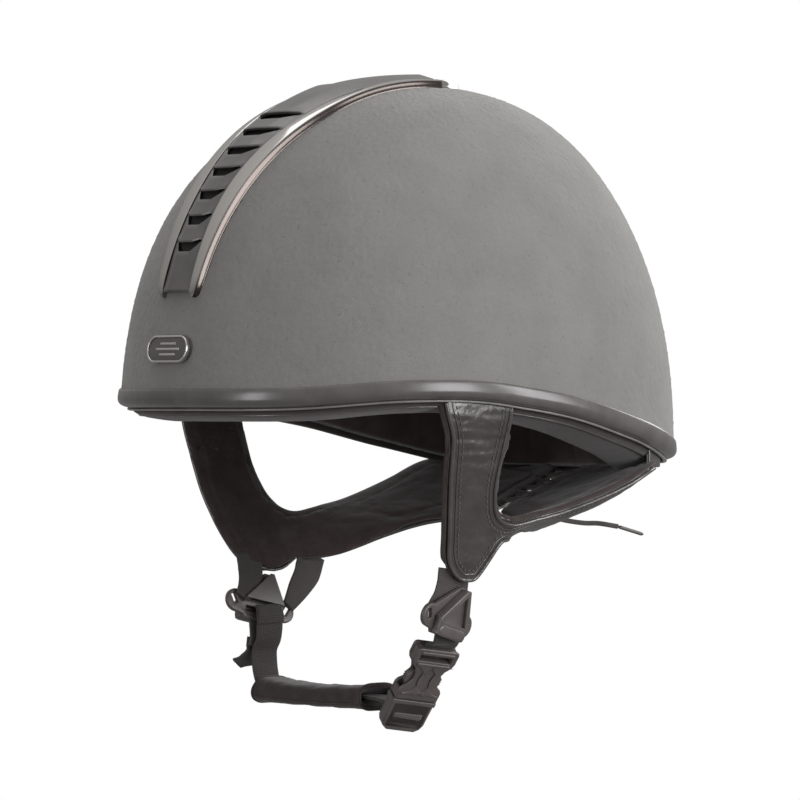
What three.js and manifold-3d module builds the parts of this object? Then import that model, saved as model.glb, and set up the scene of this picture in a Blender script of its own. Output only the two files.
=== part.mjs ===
// Equestrian riding helmet: a domed shell with a vent strip, an edge trim, an impact liner,
// a leather harness with a laced nape and a chin strap with a side-release buckle.
// Millimetres. +Z is up, -Y is the front and +X is the wearer's left. The origin is on the
// centre line, at the height of the trim's lower edge over the temples.
import * as THREE from 'three';
import { mergeVertices } from 'three/addons/utils/BufferGeometryUtils.js';
import Module from 'manifold-3d';

const wasm = await Module();
wasm.setup();

// ---------------------------------------------------------------- driving dimensions
const shell = {
  halfWidth: 112.7,
  frontLength: 122.9,     // from the widest section forward
  rearLength: 154.2,      // from the widest section back
  widestY: -15.7,
  top: 151.4,
  widestZ: -20.1,
  planPower: 2.1,
  sidePower: 2.3,
  crownShift: 16.1,       // the crown leans back over the middle of the head
  crownPower: 4.9,
};
const cover = { outer: 0, inner: 0.9 };
const plastic = { outer: 1.2, inner: 3.7 };
const liner = {
  outerLow: 7.8,          // leaves a pocket for the straps between shell and liner
  outerHigh: 4.9,
  inner: 28,
  pocketHeight: 40,
  crownZ: 66,             // the liner is moulded in three blocks: front, rear and crown
};
const padding = { outer: 29.2, inner: 31.5, bottom: 34 };
const headband = { outer: 28.6, inner: 34.5, bottom: -3, top: 33 };
const trim = { height: 8.8, proud: 1.4, channel: 3.4, foot: 3.8, lip: 1.2 };
const binding = { top: -3.2, bottom: -6.2, outer: 8.2, inner: 28 };
const gap = 0.35;
const facets = { around: 44, up: 8 };   // one grid for every layer, so that they nest

const strip = {
  centreZ: 20,            // the strip's stations are angles about this point of the centre plane
  frontAngle: 13.2,
  rearAngle: 101.5,
  louvreRear: 72,
  crownPlateRear: 93,
  bezelProud: 3.6,
  louvreProud: 3.2,
  platesRise: 1.1,        // each plate climbs this much towards its rear end, over the next one
  plateBottom: 2,
  ridge: 1.6,
  slots: 7,
  slotPitch: 5.6,         // degrees
  firstSlot: 22.6,        // degrees
};
const badge = { width: 31, height: 12.6, z: 25.6, thickness: 2, rim: 1 };

const chinStrapY = -28;           // the chin strap hangs in this plane
const webbing = { width: 15, thickness: 1.4 };
const leather = 2.4;
const buckle = {
  seam: [42.4, -28, -134.8],
  down: 52,               // degrees below the horizontal, towards the wearer's right
  roll: 13,
  width: 22,
  thickness: 7.6,
  housingLength: 30,
  plugLength: 19,
  tongue: 17,
};
const sleeve = { left: -66.5, right: 16, z: -136.5, width: 23, height: 12 };

// ---------------------------------------------------------------- materials
const finish = (color, roughness, metalness = 0) =>
  new THREE.MeshStandardMaterial({ color, roughness, metalness });
const flock = finish(0x7d7c79, 0.95);
const abs = finish(0x4c4a49, 0.5);
const satin = finish(0x5a5655, 0.4);
const foam = finish(0x2c2626, 0.9);
const lining = finish(0x2e2726, 0.95);
const gunmetal = finish(0x8c8680, 0.2, 0.9);
const hide = finish(0x453f3d, 0.45);
const web = finish(0x4b4846, 0.8);
const acetal = finish(0x514d4a, 0.4);

const helmet = new THREE.Group();

// ---------------------------------------------------------------- mesh helpers
const radians = THREE.MathUtils.degToRad;
const power = (value, exponent) => Math.sign(value) * Math.abs(value) ** exponent;
const { clamp, lerp } = THREE.MathUtils;
const vec = (x, y, z) => new THREE.Vector3(x, y, z);

function addMesh(name, geometry, material, parent = helmet) {
  const mesh = new THREE.Mesh(geometry, material);
  mesh.name = name;
  parent.add(mesh);
  return mesh;
}

function geometryOf(points, faces) {
  const geometry = new THREE.BufferGeometry();
  geometry.setAttribute('position', new THREE.Float32BufferAttribute(points.flat(), 3));
  geometry.setIndex(faces.flat());
  return geometry;
}

// A sheet with two faces, closed round its edges, from rows of [top point, bottom point].
function sheetSolid(rows) {
  const points = rows.flatMap((row) => row.flatMap((pair) => [pair[0], pair[1]]));
  const across = rows[0].length;
  const at = (i, j, side) => (i * across + j) * 2 + side;
  const faces = [];
  const quad = (a, b, c, d) => faces.push([a, b, c], [a, c, d]);
  const end = rows.length - 1;
  const edge = across - 1;
  for (let i = 0; i < end; i += 1) {
    for (let j = 0; j < edge; j += 1) {
      quad(at(i, j, 0), at(i + 1, j, 0), at(i + 1, j + 1, 0), at(i, j + 1, 0));
      quad(at(i, j, 1), at(i, j + 1, 1), at(i + 1, j + 1, 1), at(i + 1, j, 1));
    }
    quad(at(i, 0, 0), at(i, 0, 1), at(i + 1, 0, 1), at(i + 1, 0, 0));
    quad(at(i, edge, 0), at(i + 1, edge, 0), at(i + 1, edge, 1), at(i, edge, 1));
  }
  for (let j = 0; j < edge; j += 1) {
    quad(at(0, j, 0), at(0, j + 1, 0), at(0, j + 1, 1), at(0, j, 1));
    quad(at(end, j, 0), at(end, j, 1), at(end, j + 1, 1), at(end, j + 1, 0));
  }
  return outward(geometryOf(points, faces));
}

// Loops of points joined one after another; the loop of loops is closed, or capped at its ends.
function loopSolid(loops, closed = false) {
  const size = loops[0].length;
  const points = loops.flat();
  const at = (i, j) => (i % loops.length) * size + (j % size);
  const faces = [];
  const last = closed ? loops.length : loops.length - 1;
  for (let i = 0; i < last; i += 1) {
    for (let j = 0; j < size; j += 1) {
      faces.push([at(i, j), at(i + 1, j), at(i + 1, j + 1)]);
      faces.push([at(i, j), at(i + 1, j + 1), at(i, j + 1)]);
    }
  }
  if (!closed) {
    const end = loops.length - 1;
    for (let j = 1; j < size - 1; j += 1) {
      faces.push([at(0, 0), at(0, j), at(0, j + 1)]);
      faces.push([at(end, 0), at(end, j + 1), at(end, j)]);
    }
  }
  return outward(geometryOf(points, faces));
}

// Turn every face round when the enclosed volume comes out negative.
function outward(geometry) {
  const p = geometry.getAttribute('position');
  const index = geometry.getIndex().array;
  const [a, b, c] = [vec(0, 0, 0), vec(0, 0, 0), vec(0, 0, 0)];
  let volume = 0;
  for (let i = 0; i < index.length; i += 3) {
    a.fromBufferAttribute(p, index[i]);
    b.fromBufferAttribute(p, index[i + 1]);
    c.fromBufferAttribute(p, index[i + 2]);
    volume += a.dot(b.cross(c));
  }
  if (volume < 0) {
    for (let i = 0; i < index.length; i += 3) {
      [index[i + 1], index[i + 2]] = [index[i + 2], index[i + 1]];
    }
  }
  return geometry;
}

function solidOf(geometry) {
  const bare = geometry.clone();
  bare.deleteAttribute('normal');
  bare.deleteAttribute('uv');
  const merged = mergeVertices(bare, 1e-3);
  return new wasm.Manifold(new wasm.Mesh({
    numProp: 3,
    vertProperties: new Float32Array(merged.getAttribute('position').array),
    triVerts: new Uint32Array(merged.getIndex().array),
  }));
}

function geometryFrom(solid) {
  const mesh = solid.getMesh();
  const geometry = new THREE.BufferGeometry();
  const positions = new Float32Array(mesh.vertProperties);
  geometry.setAttribute('position', new THREE.BufferAttribute(positions, 3));
  geometry.setIndex(new THREE.BufferAttribute(new Uint32Array(mesh.triVerts), 1));
  return geometry;
}

function cut(geometry, cutters) {
  const left = cutters.reduce((solid, cutter) => solid.subtract(solidOf(cutter)), solidOf(geometry));
  return geometryFrom(left);
}

function join(...geometries) {
  const solids = geometries.map(solidOf);
  return geometryFrom(solids.slice(1).reduce((solid, next) => solid.add(next), solids[0]));
}

function boxAt(sizeX, sizeY, sizeZ, x, y, z) {
  return new THREE.BoxGeometry(sizeX, sizeY, sizeZ).translate(x, y, z);
}

// ---------------------------------------------------------------- the dome
// A point of the dome at the compass angle (0 is the front, 90 the wearer's left) and height z,
// with the whole surface moved in by inset.
function dome(angle, z, inset) {
  const c = Math.cos(angle);
  const s = Math.sin(angle);
  const rise = clamp((z - shell.widestZ) / (shell.top - inset - shell.widestZ), 0, 1);
  const narrow = (1 - rise ** shell.sidePower) ** (1 / shell.sidePower);
  const length = (c > 0 ? shell.frontLength : shell.rearLength) - inset;
  return [
    (shell.halfWidth - inset) * power(s, 2 / shell.planPower) * narrow,
    shell.widestY - length * power(c, 2 / shell.planPower) * narrow
      + shell.crownShift * rise ** shell.crownPower,
    z,
  ];
}

// A smooth function of an angle in degrees through a few [degrees, value] knots.
function smoothThrough(knots) {
  const curve = new THREE.CatmullRomCurve3(knots.map(([x, y]) => vec(x, y, 0)), false, 'centripetal');
  const table = curve.getPoints(120);
  return (degrees) => {
    const found = table.findIndex((point) => point.x >= degrees);
    const next = Math.max(1, found < 0 ? table.length - 1 : found);
    const [a, b] = [table[next - 1], table[next]];
    return lerp(a.y, b.y, clamp((degrees - a.x) / (b.x - a.x), 0, 1));
  };
}

// Height of the trim's lower edge: level at the front, a little higher over the temples and
// sweeping down to the nape.
const rimHeight = smoothThrough([
  [0, -1.4], [35, -1], [62, 2.4], [80, 1.9], [98, -4], [118, -14.5], [145, -25.5], [180, -27],
]);
function rimZ(angle) {
  const folded = Math.atan2(Math.sin(angle), Math.cos(angle));
  return rimHeight(Math.abs(THREE.MathUtils.radToDeg(folded)));
}

// A cap of the dome between two insets, from lowOffset above the rim up to the crown.
function domeShell(outer, inner, lowOffset, up) {
  const { around } = facets;
  const outerInset = typeof outer === 'function' ? outer : () => outer;
  const layer = (insetOf) => {
    const loops = [];
    for (let j = 0; j < up; j += 1) {
      const loop = [];
      for (let i = 0; i < around; i += 1) {
        const angle = (2 * Math.PI * i) / around;
        const low = rimZ(angle) + lowOffset;
        const share = Math.sin((Math.PI / 2) * (j / up));
        const high = shell.top - insetOf(1);
        const z = low + (high - low) * share;
        loop.push(dome(angle, z, insetOf((z - low) / liner.pocketHeight)));
      }
      loops.push(loop);
    }
    return loops;
  };
  const outside = layer(outerInset);
  const inside = layer(() => inner);
  const points = [...outside.flat(), ...inside.flat()];
  const crownY = shell.widestY + shell.crownShift;
  const outerPole = points.push([0, crownY, shell.top - outerInset(1)]) - 1;
  const innerPole = points.push([0, crownY, shell.top - inner]) - 1;
  const at = (side, j, i) => side * up * around + j * around + (i % around);
  const faces = [];
  const quad = (a, b, c, d) => faces.push([a, b, c], [a, c, d]);
  for (let i = 0; i < around; i += 1) {
    for (let j = 0; j < up - 1; j += 1) {
      quad(at(0, j, i), at(0, j, i + 1), at(0, j + 1, i + 1), at(0, j + 1, i));
      quad(at(1, j, i), at(1, j + 1, i), at(1, j + 1, i + 1), at(1, j, i + 1));
    }
    quad(at(0, 0, i), at(1, 0, i), at(1, 0, i + 1), at(0, 0, i + 1));
    faces.push([at(0, up - 1, i), at(0, up - 1, i + 1), outerPole]);
    faces.push([at(1, up - 1, i), innerPole, at(1, up - 1, i + 1)]);
  }
  return outward(geometryOf(points, faces));
}

// A ring round the rim. The section is a closed list of [inset, height above the rim].
function rimRing(section) {
  const loops = [];
  for (let i = 0; i < facets.around; i += 1) {
    const angle = (2 * Math.PI * i) / facets.around;
    loops.push(section.map(([inset, height]) => dome(angle, rimZ(angle) + height, inset)));
  }
  return loopSolid(loops, true);
}

// ---------------------------------------------------------------- the vent strip
// How far the dome is from the strip's centre along the ray at this angle and offset x.
function stripPoint(x, degrees, proud) {
  const angle = radians(degrees);
  const direction = [-Math.cos(angle), Math.sin(angle)];
  const inside = (distance) => {
    const y = direction[0] * distance;
    const z = strip.centreZ + direction[1] * distance;
    if (z >= shell.top) {
      return false;
    }
    const rise = clamp((z - shell.widestZ) / (shell.top - shell.widestZ), 0, 1);
    const narrow = (1 - rise ** shell.sidePower) ** (1 / shell.sidePower);
    const centre = shell.widestY + shell.crownShift * rise ** shell.crownPower;
    const length = y < centre ? shell.frontLength : shell.rearLength;
    const across = Math.abs(x) / (shell.halfWidth * narrow);
    const along = Math.abs(y - centre) / (length * narrow);
    return across ** shell.planPower + along ** shell.planPower < 1;
  };
  let [near, far] = [40, 200];
  for (let step = 0; step < 40; step += 1) {
    const middle = (near + far) / 2;
    if (inside(middle)) {
      near = middle;
    } else {
      far = middle;
    }
  }
  const distance = near + proud;
  return [x, direction[0] * distance, strip.centreZ + direction[1] * distance];
}

// Half widths of the strip: it opens from the brow to the crown and closes just behind it.
const bezelHalfWidth = smoothThrough([
  [13, 15.4], [20, 16.6], [33, 19.7], [48, 23.4], [61, 26], [75, 25.4], [90, 23.5], [97, 20.5], [102, 14.5],
]);
const louvreHalfWidth = smoothThrough([
  [13, 10.2], [34, 10.4], [44, 12.8], [55, 17], [64, 19.8], [71, 21.8], [80, 20], [92, 17], [102, 11],
]);

function stripRows(from, to, steps, columns) {
  const rows = [];
  for (let i = 0; i <= steps; i += 1) {
    const degrees = from + ((to - from) * i) / steps;
    rows.push(columns(degrees).map(([x, top, bottom]) => [
      stripPoint(x, degrees, top),
      stripPoint(x, degrees, bottom),
    ]));
  }
  return rows;
}

function bezel() {
  const arm = (side) => sheetSolid(stripRows(strip.frontAngle, strip.rearAngle, 24, (degrees) => {
    const outer = bezelHalfWidth(degrees);
    const inner = louvreHalfWidth(degrees) + gap;
    return [
      [side * inner, strip.bezelProud, gap],
      [side * (outer - 1.6), strip.bezelProud, gap],
      [side * outer, 1.2, gap],
    ];
  }));
  const bridgeFrom = strip.crownPlateRear + 0.6;
  const bridge = sheetSolid(stripRows(bridgeFrom, strip.rearAngle - 0.5, 4, (degrees) => {
    const reach = louvreHalfWidth(degrees) + 1;
    return [-reach, 0, reach].map((x) => [x, strip.bezelProud - 0.2, gap]);
  }));
  return join(arm(-1), arm(1), bridge);
}

// A plate of the strip, ridged along its middle and climbing a little towards its rear end.
function louvrePlate(from, to, steps) {
  return sheetSolid(stripRows(from, to, steps, (degrees) => {
    const half = louvreHalfWidth(degrees);
    const climb = strip.platesRise * ((degrees - from) / (to - from)) ** 2;
    const proud = strip.louvreProud - 0.5 + climb;
    return [
      [-half, proud, strip.plateBottom],
      [-0.45 * half, proud + strip.ridge, strip.plateBottom],
      [0.45 * half, proud + strip.ridge, strip.plateBottom],
      [half, proud, strip.plateBottom],
    ];
  }));
}

// Chevron slots, point down, cut through the louvre one after another up the strip.
function slotCutters() {
  const cutters = [];
  for (let slot = 0; slot < strip.slots; slot += 1) {
    const middle = strip.firstSlot + slot * strip.slotPitch;
    const half = louvreHalfWidth(middle) * 0.78;
    const columns = [-half, 0, half];
    const low = columns.map((x) => middle - 1.3 - (x === 0 ? 1 : 0));
    const rows = [0, 2.3].map((up) => columns.map((x, k) => [
      stripPoint(x, low[k] + up, 8),
      stripPoint(x, low[k] + up, -2),
    ]));
    cutters.push(sheetSolid(rows));
  }
  return cutters;
}

// Air holes through the cover, the shell, the liner and the padding under the louvre.
function airHoles() {
  return [33, 51, 69].map((degrees) => {
    const rows = [-4, 4].map((offset) => [-5.5, 5.5].map((x) => [
      stripPoint(x, degrees + offset, 1),
      stripPoint(x, degrees + offset, -48),
    ]));
    return sheetSolid(rows);
  });
}

// ---------------------------------------------------------------- shell group
// What is taken off the whole liner to leave each of its three blocks.
function linerSplits() {
  const wide = 400;
  const above = boxAt(wide, wide, wide, 0, 0, liner.crownZ + wide / 2);
  const below = boxAt(wide, wide, wide, 0, 0, liner.crownZ + gap - wide / 2);
  const behind = boxAt(wide, wide, wide, 0, shell.widestY + wide / 2, 0);
  const ahead = boxAt(wide, wide, wide, 0, shell.widestY + gap - wide / 2, 0);
  return { front: [above, behind], rear: [above, ahead], crown: [below] };
}

function buildShell() {
  const holes = airHoles();
  const linerOuter = (up) => lerp(liner.outerLow, liner.outerHigh, clamp(up - 0.6, 0, 1));
  const shellBottom = trim.channel + gap;
  const skin = ({ outer, inner }) => cut(domeShell(outer, inner, shellBottom, facets.up), holes);
  addMesh('shell_cover', skin(cover), flock);
  addMesh('outer_shell', skin(plastic), abs);
  const whole = cut(domeShell(linerOuter, liner.inner, -2.8, facets.up), holes);
  for (const [word, rest] of Object.entries(linerSplits())) {
    addMesh(`impact_liner_${word}`, cut(whole, rest), foam);
  }
  addMesh('crown_padding', cut(domeShell(padding.outer, padding.inner, padding.bottom, 6), holes), lining);
  addMesh('edge_trim', rimRing([
    [-gap, trim.height],
    [-trim.proud, trim.height - 0.8],
    [-trim.proud - 0.2, trim.height / 2],
    [-trim.proud + 0.4, 2.8],
    [1.2, 0.6],
    [trim.foot, -trim.lip],
    [trim.foot, trim.channel],
    [-gap, trim.channel],
  ]), satin);
  addMesh('liner_binding', rimRing([
    [binding.outer, binding.top],
    [binding.outer - 0.5, (binding.top + binding.bottom) / 2],
    [binding.outer, binding.bottom],
    [binding.inner, binding.bottom],
    [binding.inner, binding.top],
  ]), lining);
  addMesh('headband', rimRing([
    [headband.outer, headband.bottom],
    [headband.outer, headband.top],
    [headband.inner - 2, headband.top],
    [headband.inner, (headband.top + headband.bottom) / 2],
    [headband.inner - 2, headband.bottom],
  ]), lining);
}

// ---------------------------------------------------------------- vent and badge
function buildVent() {
  addMesh('vent_bezel', bezel(), gunmetal);
  const front = louvrePlate(strip.frontAngle + 0.4, strip.louvreRear, 20);
  addMesh('vent_louvre', cut(front, slotCutters()), satin);
  const crownPlate = louvrePlate(strip.louvreRear + 0.4, strip.crownPlateRear, 7);
  addMesh('vent_crown_plate', crownPlate, satin);
  const mesh = stripRows(strip.frontAngle + 4, strip.louvreRear - 4, 10, (degrees) => {
    const half = louvreHalfWidth(degrees) - 1;
    return [-half, 0, half].map((x) => [x, 1.5, 0.9]);
  });
  addMesh('vent_mesh', sheetSolid(mesh), abs);
}

function stadium(width, height, steps) {
  const shape = new THREE.Shape();
  const radius = height / 2;
  const half = width / 2 - radius;
  shape.moveTo(-half, -radius);
  shape.lineTo(half, -radius);
  shape.absarc(half, 0, radius, -Math.PI / 2, Math.PI / 2, false);
  shape.lineTo(-half, radius);
  shape.absarc(-half, 0, radius, Math.PI / 2, (3 * Math.PI) / 2, false);
  return new THREE.Shape(shape.getPoints(steps));
}

function buildBadge() {
  const front = dome(0, badge.z, 0);
  const behind = dome(0, badge.z + 6, 0);
  const lean = Math.atan2(behind[1] - front[1], 6);
  const group = new THREE.Group();
  group.position.set(0, front[1] - 0.6, badge.z);
  group.rotation.x = Math.PI / 2 - lean;
  helmet.add(group);
  const rim = stadium(badge.width, badge.height, 8);
  rim.holes.push(stadium(badge.width - 2 * badge.rim, badge.height - 2 * badge.rim, 8));
  const depth = { depth: badge.thickness, bevelEnabled: false };
  addMesh('badge_rim', new THREE.ExtrudeGeometry(rim, depth), gunmetal, group);
  const inset = 2 * (badge.rim + gap);
  const face = stadium(badge.width - inset, badge.height - inset, 8);
  const thinner = { depth: badge.thickness - 1, bevelEnabled: false };
  addMesh('badge_plate', new THREE.ExtrudeGeometry(face, thinner), satin, group);
}

// ---------------------------------------------------------------- harness
// The front strap of one side, from its top between shell and liner down to its rounded tip.
const strapPocket = 4.5;          // how far its outer face lies inside the dome, up in the shell
const strapInside = [[20, -56, -23], [8, -56, -23.5], [-5, -56, -24]];
const strapEdges = [
  // z, front x, rear x, front y, rear y
  [-14, 99.5, 103, -54, -22.4],
  [-34, 91.5, 93.5, -51, -21.8],
  [-50, 86, 86.5, -48, -16],
  [-62, 81.5, 81, -45, -12.5],
  [-72, 77.5, 76.5, -39.5, -12.5],
  [-80, 74.5, 73.5, -32, -19],
];
function frontStrap(side) {
  const columns = [0, 0.5, 1];
  const pair = (x, y, z) => [[side * x, y, z], [side * (x - leather), y, z]];
  const hidden = strapInside.map(([z, front, rear]) => columns.map((share) => {
    const y = lerp(front, rear, share);
    return pair(domeInset(y, z, strapPocket), y, z);
  }));
  const hanging = strapEdges.map(([z, frontX, rearX, frontY, rearY]) => columns.map((share) =>
    pair(lerp(frontX, rearX, share), lerp(frontY, rearY, share), z)));
  return sheetSolid([...hidden, ...hanging]);
}

// A stiff bar sewn to the strap's top, which keeps it between the shell and the liner.
function frontAnchor(side) {
  return sheetSolid([20.5, 26.5].map((z) => [-55, -47, -39, -31, -24].map((y) => {
    const x = domeInset(y, z, strapPocket);
    return [[side * x, y, z], [side * (x - leather), y, z]];
  })));
}

// The tab that ties the sling's rear corner up between the shell and the liner.
function rearTab(side) {
  return sheetSolid([-29.6, -24, -17, -10].map((z) => [129, 132, 135, 138, 141].map((degrees) => {
    const face = dome(radians(degrees), z, strapPocket);
    const back = dome(radians(degrees), z, strapPocket + leather);
    return [[side * face[0], face[1], z], [side * back[0], back[1], z]];
  })));
}

// Distance of the dome's wall from the centre plane at this y and z, moved in by inset.
function domeInset(y, z, inset) {
  const rise = clamp((z - shell.widestZ) / (shell.top - shell.widestZ), 0, 1);
  const narrow = (1 - rise ** shell.sidePower) ** (1 / shell.sidePower);
  const length = y < shell.widestY ? shell.frontLength : shell.rearLength;
  const along = clamp(Math.abs(y - shell.widestY) / (length * narrow), 0, 1);
  return shell.halfWidth * narrow * (1 - along ** shell.planPower) ** (1 / shell.planPower) - inset;
}

// The nape sling of one side: outer edge and inner edge, from behind the ear to the lacing.
const slingOuter = [
  [82.5, -10.5, -55], [82, 8, -54.5], [82, 28, -51], [84.5, 48, -45], [86, 68, -38.5],
  [84, 84, -31.6], [62, 100, -33], [34, 108, -33.6], [6.5, 104, -33],
];
const slingInner = [
  [76.5, -11.5, -75.5], [65, 6, -73], [54, 22, -65], [44, 34, -58], [36, 45, -55.5],
  [28, 51, -54.5], [18, 55, -53.5], [12, 57, -53], [6.5, 58, -53],
];
const curveOf = (list) =>
  new THREE.CatmullRomCurve3(list.map((p) => vec(...p)), false, 'centripetal');
const outerEdge = curveOf(slingOuter);
const innerEdge = curveOf(slingInner);

function sling(side, from, to, steps, thicknessAt) {
  const rows = [];
  const columns = 5;
  for (let i = 0; i <= steps; i += 1) {
    const t = from + ((to - from) * i) / steps;
    const a = outerEdge.getPoint(t);
    const b = innerEdge.getPoint(t);
    const ahead = outerEdge.getTangent(t).add(innerEdge.getTangent(t));
    const normal = ahead.cross(b.clone().sub(a)).normalize();
    if (normal.z < 0) {
      normal.negate();
    }
    const row = [];
    for (let j = 0; j < columns; j += 1) {
      const share = j / (columns - 1);
      const belly = Math.sin(Math.PI * share);
      const top = a.clone().lerp(b, share);
      const thick = leather + (thicknessAt(i / steps) - leather) * belly;
      const bottom = top.clone().addScaledVector(normal, -thick);
      row.push([[side * top.x, top.y, top.z], [side * bottom.x, bottom.y, bottom.z]]);
    }
    rows.push(row);
  }
  return sheetSolid(rows);
}

function tube(points, radius, sides, steps) {
  const section = new THREE.Shape();
  section.absarc(0, 0, radius, 0, 2 * Math.PI, false);
  const outline = new THREE.Shape(section.getPoints(sides / 2).slice(0, -1));
  const path = new THREE.CatmullRomCurve3(points.map((p) => vec(...p)), false, 'catmullrom', 0.25);
  return new THREE.ExtrudeGeometry(outline, { steps, extrudePath: path, bevelEnabled: false });
}

// The lace zigzags up the gap between the two halves of the nape sling.
const laceRungs = 6;
function lacePoints() {
  const points = [];
  for (let rung = 0; rung < laceRungs; rung += 1) {
    const share = (rung + 0.5) / laceRungs;
    const [low, high] = [vec(...slingInner[8]), vec(...slingOuter[8])];
    const spot = low.lerp(high, 0.08 + 0.84 * share);
    const side = rung % 2 === 0 ? -1 : 1;
    points.push([side * 10.5, spot.y, spot.z + 3.4]);
  }
  return points;
}
const laceTail = [
  [27, 74.5, -54.6], [28, 81.5, -55.8], [29, 88.6, -56.6], [30, 96, -56.8], [31.8, 106.6, -58.4],
];
const aglet = [[31.9, 107, -58.5], [34.6, 120.5, -62.4]];

function buildHarness() {
  for (const [word, side] of [['left', 1], ['right', -1]]) {
    addMesh(`front_strap_${word}`, frontStrap(side), hide);
    addMesh(`rear_branch_${word}`, sling(side, 0, 0.455, 7, () => leather), hide);
    const plump = (t) => leather + 4 * Math.sin(Math.PI * t);
    addMesh(`nape_pad_${word}`, sling(side, 0.462, 1, 8, plump), hide);
    addMesh(`front_anchor_${word}`, frontAnchor(side), abs);
    addMesh(`rear_tab_${word}`, rearTab(side), hide);
  }
  addMesh('nape_lace', tube(lacePoints(), 1.1, 8, 30), web);
  lacePoints().forEach(([x, y, z], index) => {
    const ring = new THREE.LatheGeometry([
      new THREE.Vector2(1.4, 0),
      new THREE.Vector2(3, 0),
      new THREE.Vector2(2.6, 0.8),
      new THREE.Vector2(1.4, 0.8),
      new THREE.Vector2(1.4, 0),
    ], 10);
    const eyelet = addMesh(`lace_eyelet_${index + 1}`, ring, gunmetal);
    eyelet.position.set(x, y, z - 2.3);
    eyelet.rotation.x = Math.PI / 2 + 0.45;
  });
  addMesh('lace_tail', tube(laceTail, 1.25, 8, 18), web);
  addMesh('lace_aglet', tube(aglet, 0.8, 8, 2), satin);
}

// ---------------------------------------------------------------- straps and guides
// A flat strap along a path: each station is [point, direction across, width].
function strap(stations, thickness = webbing.thickness) {
  const loops = stations.map(([point, across, width], i) => {
    const here = vec(...point);
    const before = vec(...stations[Math.max(0, i - 1)][0]);
    const after = vec(...stations[Math.min(stations.length - 1, i + 1)][0]);
    const along = after.sub(before).normalize();
    const wide = vec(...across).addScaledVector(along, -along.dot(vec(...across))).normalize();
    const normal = along.clone().cross(wide).normalize();
    return [[-1, -1], [1, -1], [1, 1], [-1, 1]].map(([u, v]) => here.clone()
      .addScaledVector(wide, (u * width) / 2)
      .addScaledVector(normal, (v * thickness) / 2)
      .toArray());
  });
  return loopSolid(loops);
}

// Triangular strap divider: a shield that stands in front of a plate, with a lobe for a web at
// each end of the plate and a bar along its bottom for the chin web. The apex leans to the rear.
const guide = {
  x: 71,
  y: chinStrapY - 2.7,
  z: { left: -94.2, right: -91.9 },
  yaw: { left: 14, right: 0 },     // degrees that the front end stands out from the face
  tilt: 13.5,             // degrees that the rear end hangs lower than the front one
  lean: 0.247,            // how much further out its top is, for each millimetre of height
  top: 12,
  apex: 3.5,
  bottom: -12.2,
  halfWidth: 14.2,
  lobe: 5.6,
  lobeY: -4.5,
  thickness: 2.4,
  stand: 4.6,
};
function guideSolid(side) {
  const { top, bottom, halfWidth, lobe, lobeY, thickness, stand } = guide;
  const apex = side * guide.apex;
  const outline = new THREE.Shape();
  outline.moveTo(apex - 1.8, top);
  outline.lineTo(-halfWidth + 3, -1);
  outline.absarc(-halfWidth, lobeY, lobe, Math.PI * 0.45, Math.PI * 1.5, false);
  outline.lineTo(-10.4, bottom + 1.6);
  outline.lineTo(-9.4, bottom);
  outline.lineTo(9.4, bottom);
  outline.lineTo(10.4, bottom + 1.6);
  outline.lineTo(halfWidth, lobeY - lobe);
  outline.absarc(halfWidth, lobeY, lobe, -Math.PI * 0.5, Math.PI * 0.55, false);
  outline.lineTo(apex + 1.8, top);
  const flat = new THREE.Shape(outline.getPoints(6));
  const plate = new THREE.ExtrudeGeometry(flat, { depth: thickness, bevelEnabled: false });
  const shield = new THREE.Shape();
  shield.moveTo(apex, top - 0.5);
  shield.lineTo(-11, -3.4);
  shield.lineTo(-10.6, -5.6);
  shield.lineTo(10.6, -5.6);
  shield.lineTo(11, -3.4);
  const cap = new THREE.ExtrudeGeometry(shield, { depth: stand, bevelEnabled: false })
    .translate(0, 0, thickness - 0.2);
  const slit = (turn, length, x) => new THREE.BoxGeometry(2.6, length, 9)
    .rotateZ(radians(turn))
    .translate(x, lobeY + 0.3, 1);
  return cut(join(plate, cap), [
    slit(28, 8, -halfWidth - 1.2),
    slit(-28, 8, halfWidth + 1.2),
    new THREE.BoxGeometry(16.4, 2.6, 9).translate(0, -7.4, 1),
  ]);
}

function placeGuide(word, side, parent) {
  const geometry = guideSolid(side).rotateZ(-side * radians(guide.tilt));
  const mesh = addMesh(`strap_guide_${word}`, geometry, acetal, parent);
  const yaw = radians(guide.yaw[word]);
  const out = vec(side * Math.cos(yaw), Math.sin(yaw), -guide.lean).normalize();
  const across = vec(-Math.sin(yaw), side * Math.cos(yaw), 0);
  const up = out.clone().cross(across);
  mesh.quaternion.setFromRotationMatrix(new THREE.Matrix4().makeBasis(across, up, out));
  mesh.position.set(side * guide.x, guide.y, guide.z[word]);
}

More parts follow.
